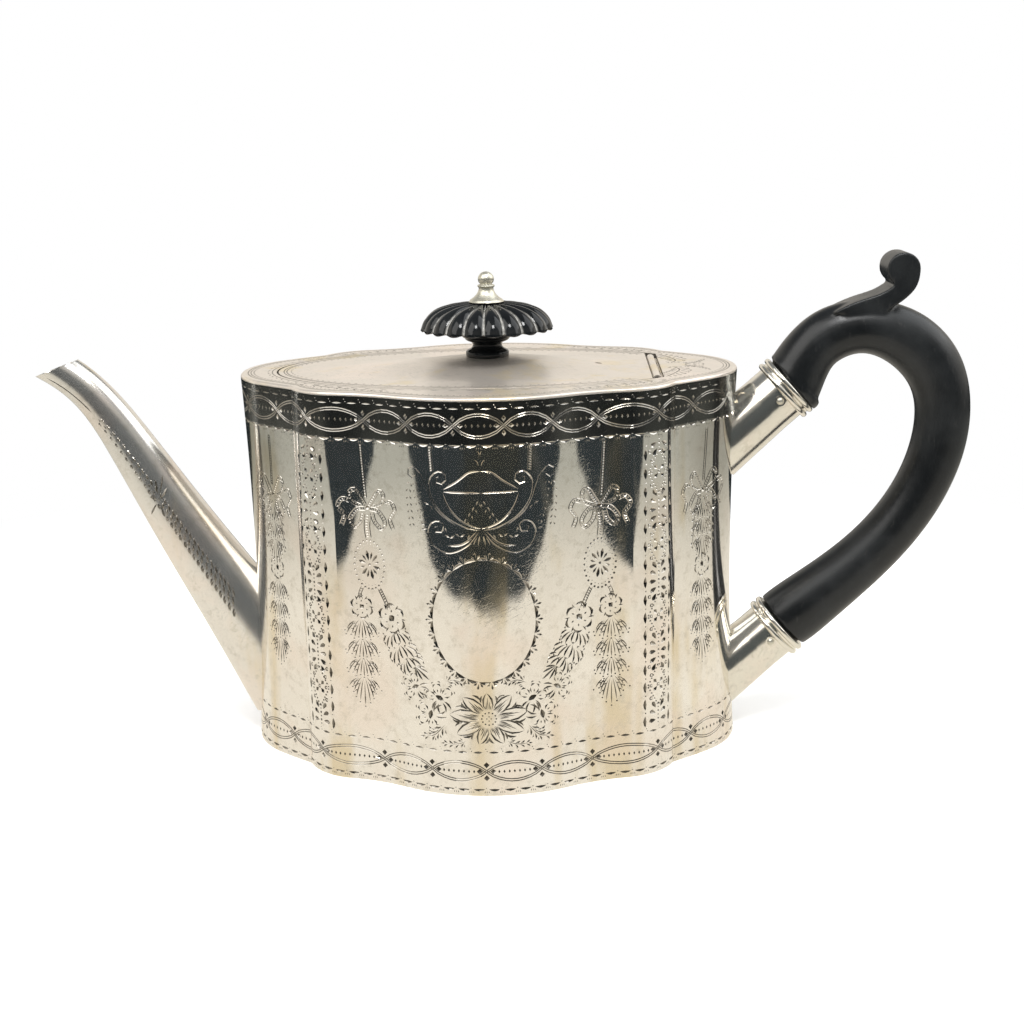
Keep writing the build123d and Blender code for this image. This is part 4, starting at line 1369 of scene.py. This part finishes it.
def lobes(angle, share):
    """How far the button is sunk between its lobes, and how much of a groove that is."""
    wave = np.abs(np.sin(LOBES * angle / 2)) ** 0.75
    grow = np.clip(share / 0.25, 0, 1) * np.clip((0.97 - share) / 0.1, 0, 1)
    return (1 - wave) * 1.15 * grow, np.clip(1 - wave, 0, 1) * np.clip(share / 0.1, 0, 1) * (share < 0.93)


def raised(z, points):
    """Outline of a turned piece that stands at height z."""
    return [(r, z + up) for r, up in points]


def make_knob():
    """Lobed button and its plain underside, the foot below and the finial on top, all round the stud."""
    r, z, bore = BUTTON_RADIUS, BUTTON_BASE, STUD_RADIUS
    dome = smooth(raised(z, [(bore, 8.9), (0.3 * r, 8.75), (0.5 * r, 8.45), (0.68 * r, 7.7), (0.83 * r, 6.3),
                             (0.945 * r, 4.0), (r, 1.3)]), 0.7)
    rim = smooth(raised(z, [(r, 1.3), (r - 0.35, 0.85), (r - 1.2, 0.9), (r - 3, 1.3)]), 0.5)[1:]
    under = np.array(raised(z, [(15.0, 1.1), (8.0, 0), (bore, 0)]))
    top = np.vstack([dome, rim])
    turned(top, LOBES * 16, lobes).build("lobed_button", WORN_EBONY, "lid", "ebony", "knob_button")
    turned(np.vstack([top[-1:], under]), LOBES * 16).build("button_underside", EBONY, "lid", "ebony")
    foot = [(bore, -0.35), (6.0, -0.45), (6.25, -0.2), (6.3, 0.9), (5.9, 1.5), (4.9, 2.0), (4.3, 2.7),
            (4.25, 3.2), (4.7, 3.8), (5.9, 4.3), (6.5, 4.8), (6.6, 5.1), (7.2, 5.4), (7.4, 6.35),
            (bore, 6.39)]
    foot = smooth(raised(LID_TOP, foot), 0.25)[::-1]
    turned(foot, 64).build("turned_pedestal", EBONY, "lid", "ebony", "knob_pedestal")
    cap = [(0.02, 8.89), (0.9, 8.7), (1.7, 8.15), (2.2, 7.35), (2.33, 6.6), (2.1, 5.75), (1.75, 5.45),
           (1.8, 5.25), (2.3, 5.05), (2.55, 4.75), (2.3, 4.4), (2.15, 4.2), (2.25, 3.5), (2.75, 2.5),
           (3.6, 1.6), (4.5, 0.95), (4.85, 0.6), (4.88, 0.05), (bore, 0.02)]
    cap = smooth(raised(BUTTON_TOP, cap), 0.15)
    turned(cap, 64).build("turned_finial", NICKEL, "lid", "nickel_silver", "knob_finial")


make_knob()


# ---- handle ----------------------------------------------------------------------------------------
def make_handle():
    """The solid's own surface, remeshed finely and eased so that its edges are soft like carved wood."""
    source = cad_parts["handle"]
    mesh = source.data.copy()
    mesh.transform(source.matrix_world)
    obj = add_piece("carved_handle", mesh, WOOD, "pot", "handle")
    remesh = obj.modifiers.new("even", "REMESH")
    remesh.mode, remesh.voxel_size, remesh.use_smooth_shade = "VOXEL", 0.45 * MM, True
    ease = obj.modifiers.new("ease", "SMOOTH")
    ease.factor, ease.iterations = 0.5, 6


make_handle()


# ---- the rest of the solids, as packed -------------------------------------------------------------
FINISH = [
    (INNER_SILVER, ["base_plate", "lid_seat", "lid_flange"]),
    (TOP_SILVER, ["hinge_deck_leaf", "hinge_lid_leaf"]),
    (PLAIN_SILVER, ["hinge_pin", "upper_socket", "lower_socket", "upper_socket_collar", "lower_socket_collar",
                    "pin_washers"]),
    (NICKEL, ["upper_handle_pin", "lower_handle_pin", "knob_stud", "knob_washer", "knob_nut"]),
]
for material, nodes in FINISH:
    for node in nodes:
        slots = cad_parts[node].data.materials
        slots.clear()
        slots.append(material)


# ---- floor, light and camera -----------------------------------------------------------------------
EDGE_OF_LIGHT = 0.212       # how far in front of the object its reflected table stays bright, in metres


def floor_material():
    """Pale table. In reflections it is bright only near the object and dark farther out, like a dark room."""
    t = Nodes(bpy.data.materials.new("table"))
    co = t.new("NewGeometry").outputs["Position"]
    far = t.new("VectorMath", {0: co}, operation="LENGTH").outputs["Value"]
    split = t.split(co)
    ax, ay = (t.math("ABSOLUTE", split[i]) for i in (0, 1))
    wobble = t.times(t.minus(t.noise(co, 7.0, 2), 0.5), 0.09)
    aside = t.math("MAXIMUM", t.minus(ax, 0.1), 0.0)
    past_edge = t.minus(t.minus(ay, t.times(aside, 0.36)), EDGE_OF_LIGHT)
    bright = t.ramp(t.plus(past_edge, wobble), -0.004, 0.01, 1, 0)
    bright = t.times(bright, t.ramp(t.plus(far, wobble), 0.54, 0.62, 1, 0))
    patches = t.ramp(t.noise(t.stretched(co, 5.0, 2.2, 1.0), 1.0, 3), 0.55, 0.72)
    dark = t.mix(patches, (0.013, 0.021, 0.025, 1), (0.085, 0.085, 0.07, 1))
    paper = t.mix(t.noise(co, 12.0, 3), (0.8, 0.73, 0.62, 1), (0.98, 0.94, 0.83, 1))
    paper = t.mix(t.ramp(far, 0.14, 0.5), paper, (0.42, 0.42, 0.37, 1))
    # Reflections see the table as an emission: painted light near the object, painted shade greying it
    # farther out, painted dark beyond.
    seen = t.new("Emission", {"Color": t.mix(bright, dark, paper)}).outputs[0]
    glossy = t.new("LightPath").outputs["Is Glossy Ray"]
    grain = t.mix(t.noise(co, 300.0, 3), (0.9, 0.9, 0.895, 1), (0.93, 0.93, 0.925, 1))
    plain = t.new("BsdfDiffuse", {"Color": grain}).outputs[0]
    white = t.new("Emission", {"Color": (1, 1, 1, 1)}).outputs[0]
    away = t.new("MixShader", {0: t.ramp(far, 0.16, 0.36), 1: plain, 2: white}).outputs[0]
    shader = t.new("MixShader", {0: glossy, 1: away, 2: seen})
    t.new("OutputMaterial", {"Surface": shader.outputs[0]})
    return t.owner


def make_floor():
    """Large flat table."""
    n, size = 24, 3.0
    xs = np.linspace(-size, size, n)
    points = [(x, y, 0.0) for y in xs for x in xs]
    corners = [i * n + j for i in range(n - 1) for j in range(n - 1)]
    faces = [(c, c + 1, c + n + 1, c + n) for c in corners]
    mesh = bpy.data.meshes.new("table")
    mesh.from_pydata(points, [], faces)
    mesh.materials.append(floor_material())
    link("table", mesh)


def make_world():
    """White all round to the camera. Reflections see pale walls, and a room dark above and in front."""
    world = bpy.data.worlds.new("studio")
    bpy.context.scene.world = world
    t = Nodes(world)
    split = t.split(t.new("TexCoord").outputs["Generated"])
    front = t.ramp(t.times(split[1], -1.0), 0.1, 0.5)
    low = t.ramp(split[2], 0.3, 0.62, 1, 0)
    wall = t.mix(t.ramp(split[2], 0.42, 0.62), (0.84, 0.79, 0.71, 1), (0.17, 0.18, 0.19, 1))
    sky = t.mix(t.times(front, low), wall, (0.03, 0.04, 0.044, 1))
    glossy = t.new("LightPath").outputs["Is Glossy Ray"]
    room, plain = (t.new("Background", {"Color": c}).outputs[0] for c in (sky, (1, 1, 1, 1)))
    mixer = t.new("MixShader", {0: glossy, 1: plain, 2: room})
    t.new("OutputWorld", {"Surface": mixer.outputs[0]})


def softbox(name, place, aim, size, power, colour=(1, 1, 1)):
    """Square lamp at place that shines at aim."""
    data = bpy.data.lights.new(name, "AREA")
    data.shape, data.size, data.size_y = "RECTANGLE", size, size
    data.energy, data.color = power, colour
    obj = link(name, data)
    obj.location = place
    obj.rotation_euler = (Vector(aim) - Vector(place)).to_track_quat("-Z", "Y").to_euler()


def make_camera():
    """Slightly above the table and almost square to the front, held a little crooked."""
    data = bpy.data.cameras.new("camera")
    data.sensor_width, data.lens = 36.0, 53.26
    data.clip_start = 0.01
    obj = link("camera", data)
    el, az, roll, distance = math.radians(14.214), math.radians(2.408), math.radians(-1.149), 0.45524
    target = Vector((0.00622, 0, 0.06804))
    back = Vector((math.sin(az) * math.cos(el), -math.cos(az) * math.cos(el), math.sin(el)))
    right = (-back).cross(Vector((0, 0, 1))).normalized()
    up = right.cross(-back)
    x = right * math.cos(roll) + up * math.sin(roll)
    y = -right * math.sin(roll) + up * math.cos(roll)
    place = Matrix((x, y, back)).transposed().to_4x4()
    place.translation = target + back * distance
    obj.matrix_world = place
    bpy.context.scene.camera = obj


make_floor()
make_world()
softbox("key", (-0.55, -0.45, 0.85), (0, 0, 0.05), 0.85, 5.5, (1, 0.98, 0.95))
softbox("spark", (0.12, -0.5, 0.9), (0, 0, 0.1), 0.27, 5.5)
softbox("fill", (0.75, 0.1, 0.85), (0, 0, 0.05), 1.0, 6.0, (0.97, 0.99, 1))
make_camera()
bpy.context.scene.view_settings.view_transform = "Standard"
